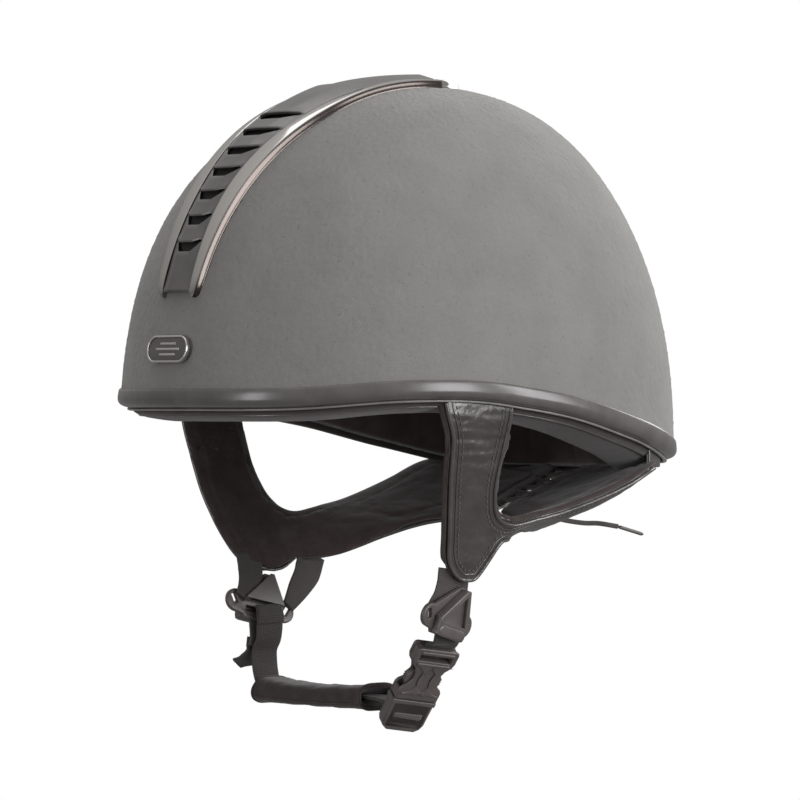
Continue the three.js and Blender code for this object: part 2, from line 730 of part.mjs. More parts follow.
// The two webs of each side: [y, height above the divider, direction across, width].
const guideWebs = {
  left: {
    front: [[-37, 12, [0, 1, 0.1], 13], [-40, 5.5, [0, 1, 0.2], 10], [-42.6, 0, [0, 1, 0.35], 6.5]],
    rear: [[-22, 12.4, [0, 1, 0], 9], [-20.5, 3, [0, 1, -0.1], 8], [-18.6, -5.6, [0, 1, -0.2], 6.5]],
  },
  right: {
    front: [[-36, 9, [0, 1, 0.1], 12], [-40, 5, [0, 1, 0.2], 10], [-43.6, 0, [0, 1, 0.35], 6.5]],
    rear: [[-4.5, 9, [0, 1, -0.5], 14], [-11.5, 1, [0, 1, -0.6], 11], [-15.8, -5, [0, 1, -0.6], 6.5]],
  },
};
const webBehind = 2;              // how far behind the divider's face the webs run
function buildWebs(parent) {
  for (const [word, side] of [['left', 1], ['right', -1]]) {
    const turn = Math.tan(radians(guide.yaw[word]));
    for (const [end, stations] of Object.entries(guideWebs[word])) {
      addMesh(`web_${end}_${word}`, strap(stations.map(([y, up, across, width]) => {
        const x = guide.x - webBehind + up * guide.lean - (y - guide.y) * turn;
        return [[side * x, y, guide.z[word] + up], across, width];
      }), 1.2), web);
    }
    placeGuide(word, side, parent);
  }
}

// ---------------------------------------------------------------- chin strap and buckle
// The buckle's own frame: y runs from the housing to the plug, x across it, z through it.
function buckleGroup() {
  const group = new THREE.Group();
  const along = vec(-Math.cos(radians(buckle.down)), 0, -Math.sin(radians(buckle.down)));
  const across = vec(0, 1, 0).applyAxisAngle(along, radians(buckle.roll));
  const through = across.clone().cross(along);
  group.quaternion.setFromRotationMatrix(new THREE.Matrix4().makeBasis(across, along, through));
  group.position.set(...buckle.seam);
  helmet.add(group);
  return group;
}

function extruded(points, depth) {
  const shape = new THREE.Shape(points.map(([x, y]) => new THREE.Vector2(x, y)));
  return new THREE.ExtrudeGeometry(shape, { depth, bevelEnabled: false }).translate(0, 0, -depth / 2);
}

function mirrored(half) {
  return [...half, ...half.map(([x, y]) => [-x, y]).reverse()];
}

function housing() {
  const half = buckle.width / 2;
  const top = -buckle.housingLength;
  const outline = mirrored([
    [half - 1.4, top], [half, top + 1.6], [half, top + 7.5], [half - 1.8, top + 11], [half - 3.6, top + 14],
    [half - 3.6, top + 19], [half - 1.2, top + 22.5], [half, top + 24], [half, -0.2],
  ].map(([x, y]) => [-x, y]).reverse());
  const body = extruded(outline, buckle.thickness);
  const depth = buckle.tongue + 3;
  const cavity = boxAt(buckle.width - 3.2, depth, buckle.thickness - 2.8, 0, 0.5 - depth / 2, 0);
  const webSlot = boxAt(16.6, 3.2, buckle.thickness + 4, 0, top + 5.4, 0);
  return cut(body, [cavity, webSlot]);
}

function plug() {
  const half = buckle.width / 2;
  const body = extruded(mirrored([
    [-half, 0.2], [-half, 2.6], [-half + 0.4, buckle.plugLength - 2], [-half + 3, buckle.plugLength],
  ].reverse()), buckle.thickness - 0.6);
  const window = boxAt(16.4, 11.5, buckle.thickness + 4, 0, 9.6, 0);
  const bar = boxAt(18, 2.6, 3, 0, 9.4, 0);
  const tongue = boxAt(5.2, buckle.tongue, 3.4, 0, -buckle.tongue / 2 + 0.4, 0);
  return join(cut(body, [window]), bar, tongue);
}

// A springy arm with a wider pad at its end, beside the tongue.
function prong(side) {
  const outer = buckle.width / 2 - 1.95;
  const points = [
    [outer - 3.4, -0.3], [outer - 1.2, -0.3], [outer - 1.6, -6], [outer, -9], [outer, -12.5],
    [outer - 1.8, -15.6], [outer - 3, -15.6], [outer - 3, -8],
  ].map(([x, y]) => [side * x, y]);
  return extruded(side > 0 ? points : points.reverse(), 4);
}

function buildChinStrap() {
  const group = buckleGroup();
  addMesh('buckle_housing', housing(), acetal, group);
  addMesh('buckle_plug', plug(), acetal, group);
  addMesh('buckle_prong_front', prong(-1), acetal, group);
  addMesh('buckle_prong_rear', prong(1), acetal, group);
  const wide = webbing.width;
  addMesh('buckle_web_loop', strap([
    [[0, 5.9, 4.8], [1, 0, 0], wide],
    [[0, 6.2, -0.2], [1, 0, 0], wide],
    [[0, 7.8, -2.8], [1, 0, 0], wide],
    [[0, 11, -2.8], [1, 0, 0], wide],
    [[0, 12.7, -0.2], [1, 0, 0], wide],
    [[0, 13.2, 4.8], [1, 0, 0], wide],
  ]), web, group);
  const y = chinStrapY;
  addMesh('chin_web_left', strap([
    [[68.2, y - 1, -109.6], [0, 1, 0], wide],
    [[65.6, y - 0.6, -109.8], [0, 1, -0.1], wide],
    [[63.4, y, -109.7], [0.1, 1, -0.18], wide],
  ]), web);
  addMesh('chin_web_right', strap([
    [[-66, y - 2, -101], [0, 1, 0], wide],
    [[-66.4, y - 1.4, -110], [0, 1, 0], wide],
    [[-70.8, y - 1, -118], [0, 1, 0], wide],
    [[-71, y, -127], [0, 1, 0], wide],
    [[-68.6, y, -133.8], [0, 1, 0], wide],
    [[-62, y, -136.3], [0, 1, 0], wide],
    [[-20, y, -136.5], [0, 1, 0], wide],
    [[14, y, -136.5], [0, 1, 0], wide],
    [[22, y, -137], [0, 1, 0], wide],
    [[30, y, -138.4], [0.05, 1, -0.08], wide],
  ]), web);
  addMesh('chin_web_tail', strap([
    [[-73.4, y - 2, -113], [0, 1, 0], wide],
    [[-73.8, y - 3, -119], [0, 1, 0], wide],
    [[-78, y - 6, -122.5], [0, 1, -0.2], wide - 3],
    [[-83, y - 9, -124.5], [0, 1, -0.3], wide - 6],
  ]), web);
  addMesh('chin_pad', chinPad(), lining);
}

// A padded sleeve: a flattened tube round the chin web, with a wide mouth where the web turns up.
function chinPad() {
  const sides = 16;
  const ring = (x, width, height, lift = 0) => Array.from({ length: sides }, (unused, i) => {
    const angle = (2 * Math.PI * i) / sides;
    const y = chinStrapY + (width / 2) * power(Math.cos(angle), 0.7);
    const z = sleeve.z + lift + (height / 2) * power(Math.sin(angle), 0.9);
    return [x, y, z];
  });
  const { left, right, width, height } = sleeve;
  const outside = [
    ring(left, width * 0.95, height),
    ring(left + 5, width, height),
    ring(right - 30, width, height),
    ring(right, width, height * 0.95),
  ];
  const inside = [
    ring(left, webbing.width + 4, height - 1.8, 0.4),
    ring(left + 9, webbing.width + 3, 5.6),
    ring(right, webbing.width + 3, 5.6),
  ].reverse();
  return loopSolid([...outside, ...inside], true);
}

buildShell();
buildVent();
buildBadge();
buildHarness();
buildWebs(helmet);
buildChinStrap();

export default helmet;
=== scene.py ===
"""Looks of the equestrian riding helmet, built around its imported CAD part.
"""

import math

import bmesh
import bpy
import numpy as np
from mathutils import Matrix, Vector, noise
from mathutils.bvhtree import BVHTree
from mathutils.kdtree import KDTree


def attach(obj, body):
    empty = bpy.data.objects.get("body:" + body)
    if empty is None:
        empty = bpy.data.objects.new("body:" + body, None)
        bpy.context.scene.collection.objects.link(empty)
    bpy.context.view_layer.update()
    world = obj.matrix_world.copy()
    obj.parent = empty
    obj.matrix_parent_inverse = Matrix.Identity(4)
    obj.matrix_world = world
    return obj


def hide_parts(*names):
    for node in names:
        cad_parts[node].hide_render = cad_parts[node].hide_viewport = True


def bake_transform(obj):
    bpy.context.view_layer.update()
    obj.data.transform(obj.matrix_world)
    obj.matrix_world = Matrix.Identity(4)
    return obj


MM = 0.001

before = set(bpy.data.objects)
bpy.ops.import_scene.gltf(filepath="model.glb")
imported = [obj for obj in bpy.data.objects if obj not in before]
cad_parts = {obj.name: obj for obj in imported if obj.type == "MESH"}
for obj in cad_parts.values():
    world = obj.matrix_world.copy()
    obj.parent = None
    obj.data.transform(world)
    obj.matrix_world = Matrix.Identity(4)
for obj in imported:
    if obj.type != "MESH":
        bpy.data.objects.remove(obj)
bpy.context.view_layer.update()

# ------------------------------------------------------------------ driving dimensions
SHELL = {
    "half_width": 112.7,
    "front": 122.9,
    "rear": 154.2,
    "widest_y": -15.7,
    "top": 151.4,
    "widest_z": -20.1,
    "plan": 2.1,
    "side": 2.3,
    "crown_shift": 16.1,
    "crown": 4.9,
}
# the rim's height at compass angles, and half widths at the strip's stations
RIM = [(0, -1.4), (35, -1), (62, 2.4), (80, 1.9), (98, -4), (118, -14.5), (145, -25.5), (180, -27)]
# the vent strip: angles of its stations in degrees, the rest in millimetres
STRIP = {
    "centre_z": 20,
    "front": 13.2,
    "rear": 102.4,
    "cap": 92,
    "louvre_rear": 72,
    "bezel_proud": 3.6,
    "louvre_proud": 2.7,
    "rise": 1.1,
    "ridge": 1.6,
    "slots": 7,
    "pitch": 5.6,
    "first_slot": 22.6,
}
BEZEL_HALF = [(13, 15.4), (20, 16.6), (33, 19.7), (48, 23.4), (61, 26), (75, 25.4), (90, 23.5), (97, 20.5)]
LOUVRE_HALF = [(13, 10.2), (34, 10.4), (44, 12.8), (55, 17), (64, 19.8), (71, 21.8), (80, 20), (92, 17)]
BADGE = {"width": 31, "height": 12.6, "z": 25.6, "thickness": 2, "rim": 1}
CHIN_Y = -28
WEB = {"width": 15, "thickness": 1.4}
GUIDE = {
    "x": 71,
    "y": -30.7,
    "z": {"left": -94.2, "right": -91.9},
    "yaw": {"left": 14, "right": 0},
    "tilt": 13.5,
    "lean": 0.247,
    "top": 12,
    "apex": 3.5,
    "bottom": -12.2,
    "half_width": 14.2,
    "lobe": 5.6,
    "lobe_y": -4.5,
}
BUCKLE = {"seam": (42.4, -28, -134.8), "down": 52, "roll": 13, "width": 22, "thickness": 7.6,
          "housing": 30, "plug": 19}
SLEEVE = {"left": -66.5, "right": 16, "z": -136.5, "width": 23, "height": 12}


# ------------------------------------------------------------------ curves and the dome
def catmull(points, samples):
    """Centripetal Catmull-Rom curve through points, at equal steps of its parameter."""
    p = np.array(points, float)
    p = np.vstack([2 * p[0] - p[1], p, 2 * p[-1] - p[-2]])
    out = []
    for t in np.linspace(0, len(points) - 1, samples):
        i = min(int(t), len(points) - 2)
        out.append(_span(p[i], p[i + 1], p[i + 2], p[i + 3], t - i))
    return np.array(out)


def _span(a, b, c, d, w):
    k0, k1, k2 = (max(np.linalg.norm(q - p), 1e-6) ** 0.5 for p, q in ((a, b), (b, c), (c, d)))
    m1 = ((b - a) / k0 - (c - a) / (k0 + k1) + (c - b) / k1) * k1
    m2 = ((c - b) / k1 - (d - b) / (k1 + k2) + (d - c) / k2) * k1
    w2, w3 = w * w, w * w * w
    return (2 * w3 - 3 * w2 + 1) * b + (w3 - 2 * w2 + w) * m1 + (3 * w2 - 2 * w3) * c + (w3 - w2) * m2


RIM_TABLE = catmull([(a, z, z) for a, z in RIM], 240)


def rim_z(degrees):
    folded = np.abs((np.asarray(degrees, float) + 180) % 360 - 180)
    return np.interp(folded, RIM_TABLE[:, 0], RIM_TABLE[:, 1])


def narrowing(z, inset=0.0):
    rise = np.clip((z - SHELL["widest_z"]) / (SHELL["top"] - inset - SHELL["widest_z"]), 0, 1)
    return rise, (1 - rise ** SHELL["side"]) ** (1 / SHELL["side"])


def dome(degrees, z, inset=0.0):
    """Points of the shell's surface moved in by inset, at compass angles (0 is the front)."""
    degrees, z, inset = np.broadcast_arrays(np.asarray(degrees, float), z, inset)
    c, s = np.cos(np.radians(degrees)), np.sin(np.radians(degrees))
    rise, narrow = narrowing(z, inset)
    length = np.where(c > 0, SHELL["front"], SHELL["rear"]) - inset
    bend = 2 / SHELL["plan"]
    x = (SHELL["half_width"] - inset) * np.sign(s) * np.abs(s) ** bend * narrow
    y = SHELL["widest_y"] - length * np.sign(c) * np.abs(c) ** bend * narrow
    return np.stack([x, y + SHELL["crown_shift"] * rise ** SHELL["crown"], z], axis=-1)


def side_x(y, z, inset):
    """Distance of the shell's wall from the centre plane at y and z, moved in by inset."""
    _, narrow = narrowing(z)
    length = SHELL["front"] if y < SHELL["widest_y"] else SHELL["rear"]
    along = min(abs(y - SHELL["widest_y"]) / (length * narrow), 1)
    return SHELL["half_width"] * narrow * (1 - along ** SHELL["plan"]) ** (1 / SHELL["plan"]) - inset


def strip_point(x, degrees, proud):
    """A point over the vent strip's ground: the strip's stations are angles about one centre."""
    a = math.radians(degrees)
    direction = (-math.cos(a), math.sin(a))

    def inside(distance):
        y, z = direction[0] * distance, STRIP["centre_z"] + direction[1] * distance
        if z >= SHELL["top"]:
            return False
        rise, narrow = narrowing(z)
        centre = SHELL["widest_y"] + SHELL["crown_shift"] * rise ** SHELL["crown"]
        length = SHELL["front"] if y < centre else SHELL["rear"]
        across = abs(x) / (SHELL["half_width"] * narrow)
        return across ** SHELL["plan"] + (abs(y - centre) / (length * narrow)) ** SHELL["plan"] < 1

    near, far = 40.0, 200.0
    for _ in range(34):
        middle = (near + far) / 2
        near, far = (middle, far) if inside(middle) else (near, middle)
    distance = near + proud
    return np.array([x, direction[0] * distance, STRIP["centre_z"] + direction[1] * distance])


def share(value, low, span):
    """How far value has come from low across span, kept between 0 and 1."""
    return min(max((value - low) / span, 0), 1)


def side_of(word):
    return 1 if word == "left" else -1


BEZEL_TABLE = catmull(BEZEL_HALF, 120)
LOUVRE_TABLE = catmull(LOUVRE_HALF, 120)


def bezel_half(degrees):
    """Half width of the strip, which closes in a quarter ellipse behind the crown plate."""
    across = np.interp(degrees, BEZEL_TABLE[:, 0], BEZEL_TABLE[:, 1])
    closing = share(degrees, STRIP["cap"], STRIP["rear"] - STRIP["cap"])
    return float(across) * math.sqrt(max(0.0, 1 - closing ** 2))


def louvre_half(degrees):
    return float(np.interp(degrees, LOUVRE_TABLE[:, 0], LOUVRE_TABLE[:, 1]))


# ------------------------------------------------------------------ mesh helpers
def add_object(name, data):
    obj = bpy.data.objects.new(name, data)
    bpy.context.scene.collection.objects.link(obj)
    return obj


def add_line(curve, points):
    """A straight-sided spline through millimetre points."""
    spline = curve.splines.new("POLY")
    spline.points.add(len(points) - 1)
    for point, spot in zip(spline.points, points):
        point.co = (*(float(c) * MM for c in spot), 1)
    return spline


def mesh_from(name, points, faces, material, hard=None):
    """A mesh object from millimetre points. hard is the angle above which an edge stays sharp."""
    mesh = bpy.data.meshes.new(name)
    mesh.from_pydata([tuple(float(c) * MM for c in p) for p in points], [], [tuple(f) for f in faces])
    mesh.update()
    mesh.materials.append(material)
    obj = add_object(name, mesh)
    finish_shading(obj, hard)
    return obj


def finish_shading(obj, hard=None):
    obj.data.shade_smooth()
    if hard is not None:
        obj.data.set_sharp_from_angle(angle=math.radians(hard))


def turn_outward(obj):
    bm = bmesh.new()
    bm.from_mesh(obj.data)
    bmesh.ops.recalc_face_normals(bm, faces=bm.faces)
    bm.to_mesh(obj.data)
    bm.free()


def grid_faces(rows, columns, wrap_rows=False, wrap_columns=False, first=0):
    faces = []
    for i in range(rows if wrap_rows else rows - 1):
        for j in range(columns if wrap_columns else columns - 1):
            a, b = i * columns + j, i * columns + (j + 1) % columns
            c, d = ((i + 1) % rows) * columns + (j + 1) % columns, ((i + 1) % rows) * columns + j
            faces.append((first + a, first + b, first + c, first + d))
    return faces


def loops_mesh(name, loops, material, closed=False, capped=True, hard=None):
    """A skin over loops of points. closed joins the last loop to the first."""
    size = len(loops[0])
    points = [p for loop in loops for p in loop]
    faces = grid_faces(len(loops), size, closed, True)
    if capped and not closed:
        faces.append(tuple(range(size))[::-1])
        faces.append(tuple(range(len(points) - size, len(points))))
    obj = mesh_from(name, points, faces, material)
    turn_outward(obj)
    finish_shading(obj, hard)
    return obj


def modify(obj, kind, **settings):
    modifier = obj.modifiers.new(kind.lower(), kind)
    for key, value in settings.items():
        setattr(modifier, key, value)
    return modifier


def apply_all(obj, hard=None):
    """Turns the object's modifiers into plain mesh."""
    graph = bpy.context.evaluated_depsgraph_get()
    graph.update()
    mesh = bpy.data.meshes.new_from_object(obj.evaluated_get(graph))
    obj.modifiers.clear()
    obj.data = mesh
    finish_shading(obj, hard)
    return obj


def joined(name, objects, hard=None):
    """One object from several."""
    for obj in bpy.context.selected_objects:
        obj.select_set(False)
    for obj in objects:
        obj.select_set(True)
    bpy.context.view_layer.objects.active = objects[0]
    bpy.ops.object.join()
    objects[0].name = name
    if hard is not None:
        finish_shading(objects[0], hard)
    return objects[0]


def place(obj, matrix):
    obj.data.transform(matrix)
    obj.data.update()
    return obj


def spaced(points, step):
    """The same line with its points a steady step apart."""
    p = np.array(points, float)
    lengths = np.r_[0, np.cumsum(np.linalg.norm(np.diff(p, axis=0), axis=1))]
    count = max(2, int(round(lengths[-1] / step)) + 1)
    at = np.linspace(0, lengths[-1], count)
    return np.stack([np.interp(at, lengths, p[:, k]) for k in range(3)], axis=1)


def frames_along(points):
    """Side and normal of a line at its points, turning as little as possible."""
    p = np.array(points, float)
    tangents = np.gradient(p, axis=0)
    tangents /= np.linalg.norm(tangents, axis=1)[:, None]
    side = np.cross((0, 0, 1), tangents[0])
    if np.linalg.norm(side) < 0.1:
        side = np.cross((1, 0, 0), tangents[0])
    sides = []
    for t in tangents:
        side = side - t * np.dot(side, t)
        side = side / np.linalg.norm(side)
        sides.append(side.copy())
    sides = np.array(sides)
    return sides, np.cross(tangents, sides)


def circle(count):
    """Angles of count points round a circle."""
    return np.linspace(0, 2 * math.pi, count, endpoint=False)


def tube(name, points, radius, material, sides=10):
    """A round cord or piping along a line, with narrowed ends."""
    p = np.array(points, float)
    sideways, normals = frames_along(p)
    loops = []
    for i in range(len(p)):
        r = radius * 0.45 if i in (0, len(p) - 1) else radius
        loops.append([p[i] + r * (math.cos(a) * sideways[i] + math.sin(a) * normals[i])
                      for a in circle(sides)])
    return loops_mesh(name, loops, material)


def wobble(point, scale, seed=0.0):
    """Smooth noise from -1 to 1 at a millimetre point; scale is the size of its lumps."""
    return noise.noise(Vector((point[0] / scale + seed, point[1] / scale, point[2] / scale)))


# ------------------------------------------------------------------ materials
def new_material(name, colour, roughness, metallic=0.0, **extra):
    material = bpy.data.materials.new(name)
    material.use_nodes = True
    shader = material.node_tree.nodes["Principled BSDF"]
    shader.inputs["Base Color"].default_value = (*colour, 1)
    shader.inputs["Roughness"].default_value = roughness
    shader.inputs["Metallic"].default_value = metallic
    for key, value in extra.items():
        shader.inputs[key.replace("_", " ")].default_value = value
    return material


def texture(material, kind, uv=False, stretch=None, **inputs):
    """A texture node fed by object coordinates, or by the UV map."""
    tree = material.node_tree
    coordinates = tree.nodes.new("ShaderNodeTexCoord")
    node = tree.nodes.new(kind)
    source = coordinates.outputs["UV" if uv else "Object"]
    if stretch:
        mapping = tree.nodes.new("ShaderNodeMapping")
        mapping.inputs["Scale"].default_value = stretch
        tree.links.new(source, mapping.inputs["Vector"])
        source = mapping.outputs["Vector"]
    tree.links.new(source, node.inputs["Vector"])
    for key, value in inputs.items():
        node.inputs[key.replace("_", " ")].default_value = value
    return node


def shade(colour, factor):
    return tuple(c * factor for c in colour)


def output_of(node):
    for name in ("Fac", "Distance", "Value", "Factor", "Result"):
        if name in node.outputs:
            return node.outputs[name]
    return node.outputs[0]


def ramp_of(material, node, dark, light, low, high):
    """The colour output of a ramp that a texture drives."""
    tree = material.node_tree
    ramp = tree.nodes.new("ShaderNodeValToRGB")
    ramp.color_ramp.elements[0].position = low
    ramp.color_ramp.elements[1].position = high
    ramp.color_ramp.elements[0].color = (*dark, 1)
    ramp.color_ramp.elements[1].color = (*light, 1)
    tree.links.new(output_of(node), ramp.inputs["Fac"])
    return ramp.outputs["Color"]


def tint(material, node, dark, light, low=0.35, high=0.65):
    """Base colour that runs between two colours with a texture."""
    tree = material.node_tree
    colour = ramp_of(material, node, dark, light, low, high)
    tree.links.new(colour, tree.nodes["Principled BSDF"].inputs["Base Color"])


def multiply_colour(material, node, dark, low, high):
    """Darkens what already feeds the base colour where the texture is low."""
    tree = material.node_tree
    socket = tree.nodes["Principled BSDF"].inputs["Base Color"]
    source = socket.links[0].from_socket
    colour = ramp_of(material, node, dark, (1, 1, 1), low, high)
    mix = tree.nodes.new("ShaderNodeMix")
    mix.data_type = "RGBA"
    mix.blend_type = "MULTIPLY"
    mix.inputs["Factor"].default_value = 1
    tree.links.new(source, mix.inputs[6])
    tree.links.new(colour, mix.inputs[7])
    tree.links.new(mix.outputs[2], socket)


def bump(material, node, strength, distance_mm):
    """Adds relief from a texture, on top of any relief the material already has."""
    tree = material.node_tree
    relief = tree.nodes.new("ShaderNodeBump")
    relief.inputs["Strength"].default_value = strength
    relief.inputs["Distance"].default_value = distance_mm * MM
    socket = tree.nodes["Principled BSDF"].inputs["Normal"]
    if socket.links:
        tree.links.new(socket.links[0].from_socket, relief.inputs["Normal"])
    tree.links.new(output_of(node), relief.inputs["Height"])
    tree.links.new(relief.outputs["Normal"], socket)


def vary_roughness(material, node, low, high):
    tree = material.node_tree
    spread = tree.nodes.new("ShaderNodeMapRange")
    spread.inputs["To Min"].default_value = low
    spread.inputs["To Max"].default_value = high
    tree.links.new(output_of(node), spread.inputs["Value"])
    tree.links.new(spread.outputs["Result"], tree.nodes["Principled BSDF"].inputs["Roughness"])


def flock_material():
    m = new_material("flock", (0.2, 0.195, 0.185), 0.95, Specular_IOR_Level=0.15, Sheen_Weight=0.18,
                     Sheen_Roughness=0.45)
    tint(m, texture(m, "ShaderNodeTexNoise", Scale=45, Detail=3), (0.16, 0.158, 0.152), (0.176, 0.173, 0.166))
    specks = texture(m, "ShaderNodeTexNoise", Scale=620, Detail=1)
    multiply_colour(m, specks, (0.8, 0.8, 0.8), 0.25, 0.31)
    grain = texture(m, "ShaderNodeTexNoise", Scale=1900, Detail=2)
    multiply_colour(m, grain, (0.86, 0.86, 0.86), 0.3, 0.6)
    bump(m, grain, 0.35, 0.3)
    return m


def plastic_material(name, colour, roughness, grain=0.06):
    m = new_material(name, colour, roughness)
    fine = texture(m, "ShaderNodeTexNoise", Scale=1400, Detail=2)
    tint(m, texture(m, "ShaderNodeTexNoise", Scale=90, Detail=2), shade(colour, 0.9), shade(colour, 1.12))
    bump(m, fine, grain, 0.15)
    return m


def gunmetal_material(name, colour, roughness):
    m = new_material(name, colour, roughness, metallic=1.0)
    smear = texture(m, "ShaderNodeTexNoise", Scale=60, Detail=2)
    vary_roughness(m, smear, roughness * 0.8, roughness * 1.3)
    return m


def leather_material(name, colour, roughness):
    m = new_material(name, colour, roughness, Specular_IOR_Level=0.85)
    tint(m, texture(m, "ShaderNodeTexNoise", Scale=70, Detail=3), shade(colour, 0.82), shade(colour, 1.15))
    bump(m, texture(m, "ShaderNodeTexNoise", Scale=170, Detail=4), 0.35, 0.7)
    bump(m, texture(m, "ShaderNodeTexVoronoi", Scale=1100), 0.25, 0.14)
    wear = texture(m, "ShaderNodeTexNoise", Scale=300, Detail=2)
    vary_roughness(m, wear, roughness * 0.8, roughness * 1.25)
    return m


def cloth_material(name, colour, sheen=0.2, weave=1500):
    m = new_material(name, colour, 0.92, Specular_IOR_Level=0.25, Sheen_Weight=sheen, Sheen_Roughness=0.5)
    tint(m, texture(m, "ShaderNodeTexNoise", Scale=110, Detail=3), shade(colour, 0.8), shade(colour, 1.2))
    bump(m, texture(m, "ShaderNodeTexVoronoi", Scale=weave), 0.4, 0.25)
    bump(m, texture(m, "ShaderNodeTexNoise", Scale=160, Detail=2), 0.2, 0.6)
    return m


def webbing_material(name, colour, sheen=0.12):
    """Ribs across the web and yarns along it, from a UV map in millimetres."""
    m = new_material(name, colour, 0.7, Specular_IOR_Level=0.4, Sheen_Weight=sheen, Sheen_Roughness=0.4)
    ribs = texture(m, "ShaderNodeTexWave", uv=True, stretch=(0.0, 1.0, 1.0), Scale=0.36, Distortion=0.6)
    ribs.bands_direction = "Y"
    yarns = texture(m, "ShaderNodeTexWave", uv=True, stretch=(1.0, 0.0, 1.0), Scale=0.3, Distortion=0.3)
    yarns.bands_direction = "X"
    tint(m, ribs, shade(colour, 0.7), shade(colour, 1.2), 0.2, 0.8)
    bump(m, ribs, 0.5, 0.2)
    bump(m, yarns, 0.35, 0.2)
    return m


FLOCK = flock_material()
TRIM_MAT = plastic_material("trim satin", (0.078, 0.071, 0.072), 0.24, 0.03)
# a lighter copy of the trim's plastic for the lip: painted highlight along its bright line
TRIM_LIP_HIGHLIGHT_MAT = plastic_material("trim lip painted highlight", (0.16, 0.15, 0.148), 0.25, 0.03)
SHELL_MAT = plastic_material("shell plastic", (0.03, 0.027, 0.026), 0.5)
LOUVRE_MAT = plastic_material("louvre plastic", (0.07, 0.066, 0.065), 0.34)
MESH_MAT = plastic_material("vent mesh", (0.006, 0.005, 0.005), 0.8)
BEZEL_MAT = gunmetal_material("bezel gunmetal", (0.4, 0.385, 0.37), 0.12)
# a darker copy of the bezel's metal for the steep outer flanks: painted shade
FLANK_SHADE_MAT = gunmetal_material("bezel flank painted shade", (0.07, 0.06, 0.056), 0.18)
RIM_MAT = gunmetal_material("badge rim metal", (0.6, 0.58, 0.56), 0.2)
EYELET_MAT = gunmetal_material("eyelet metal", (0.12, 0.11, 0.1), 0.35)
LEATHER = leather_material("harness leather", (0.032, 0.028, 0.027), 0.3)
# piping leather lighter than the harness leather: the extra lightness is a painted highlight along the edges
LIT_PIPING = leather_material("leather piping painted highlight", (0.05, 0.045, 0.044), 0.24)
BACKING = cloth_material("strap lining", (0.034, 0.024, 0.023))
LINING = cloth_material("cloth lining", (0.032, 0.023, 0.022))
BAND = cloth_material("bound edge", (0.026, 0.019, 0.018))
FOAM_MAT = cloth_material("foam skin", (0.026, 0.019, 0.019))
WEBBING = webbing_material("webbing", (0.044, 0.038, 0.037))
# a lighter copy of the webbing with more sheen: the lighter colour is a painted highlight for the satin sheen
SHEEN_PAINTED_WEB = webbing_material("satin webbing painted highlight", (0.07, 0.064, 0.061), 0.3)
LACE_MAT = cloth_material("braided lace", (0.05, 0.046, 0.044), 0.2, 1800)
ACETAL = plastic_material("buckle acetal", (0.07, 0.06, 0.058), 0.36)
THREAD = cloth_material("stitch thread", (0.085, 0.078, 0.075), 0.2, 2500)


# ------------------------------------------------------------------ shell
def dome_grid(around, up, low_offset, inset=0.0, bulge=None):
    """Points and faces of a cap of the dome, from low_offset above the rim up to its pole."""
    top = SHELL["top"] - np.max(inset)
    degrees = 360 * np.arange(around) / around
    low = rim_z(degrees) + low_offset
    points = []
    for j in range(up):
        rise = math.sin(math.pi / 2 * j / up)
        extra = np.array([bulge(d, rise) for d in degrees]) if bulge else 0
        points.append(dome(degrees, low + (top - low) * rise, inset + extra))
    extra = bulge(0, 1) if bulge else 0
    pole = (0, SHELL["widest_y"] + SHELL["crown_shift"], top - extra)
    points = np.vstack(points + [np.array([pole])])
    faces = grid_faces(up, around, wrap_columns=True)
    last = (up - 1) * around
    faces += [(last + i, last + (i + 1) % around, len(points) - 1) for i in range(around)]
    return points, faces


def vertex_arrays(mesh):
    """Places in millimetres and normals of a mesh's vertices, as two arrays."""
    places, normals = np.empty(len(mesh.vertices) * 3), np.empty(len(mesh.vertices) * 3)
    mesh.vertices.foreach_get("co", places)
    mesh.vertex_normals.foreach_get("vector", normals)
    return places.reshape(-1, 3) / MM, normals.reshape(-1, 3)


def move_vertices(mesh, places):
    mesh.vertices.foreach_set("co", (np.asarray(places) * MM).ravel())
    mesh.update()


NAP = 0.34          # how far the flock's surface strays from the dome


def shell_cover():
    """The flocked skin, a little rough so that its edge against the light isn't a clean line."""
    points, faces = dome_grid(640, 190, 4.5)
    obj = mesh_from("shell_cover_flock", points, faces, FLOCK)
    turn_outward(obj)
    places, normals = vertex_arrays(obj.data)
    rough = np.array([wobble(p, 1.1) + 0.6 * wobble(p, 0.55, 5) for p in places])
    move_vertices(obj.data, places + normals * (NAP * rough)[:, None])
    modify(obj, "SOLIDIFY", thickness=0.8 * MM, offset=-1)
    apply_all(obj)
    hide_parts("shell_cover")
    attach(obj, "helmet")


def rim_ring(name, section, material, stations=260, hard=None, ripple=None):
    """A closed section of (inset, height above the rim) taken round the rim."""
    loops = []
    for i in range(stations):
        degrees = 360 * i / stations
        z = float(rim_z(degrees))
        loop = []
        for k, (inset, height) in enumerate(section):
            extra = ripple(degrees, k) if ripple else 0
            loop.append(dome(degrees, z + height, inset + extra))
        loops.append(loop)
    return loops_mesh(name, loops, material, closed=True, hard=hard)


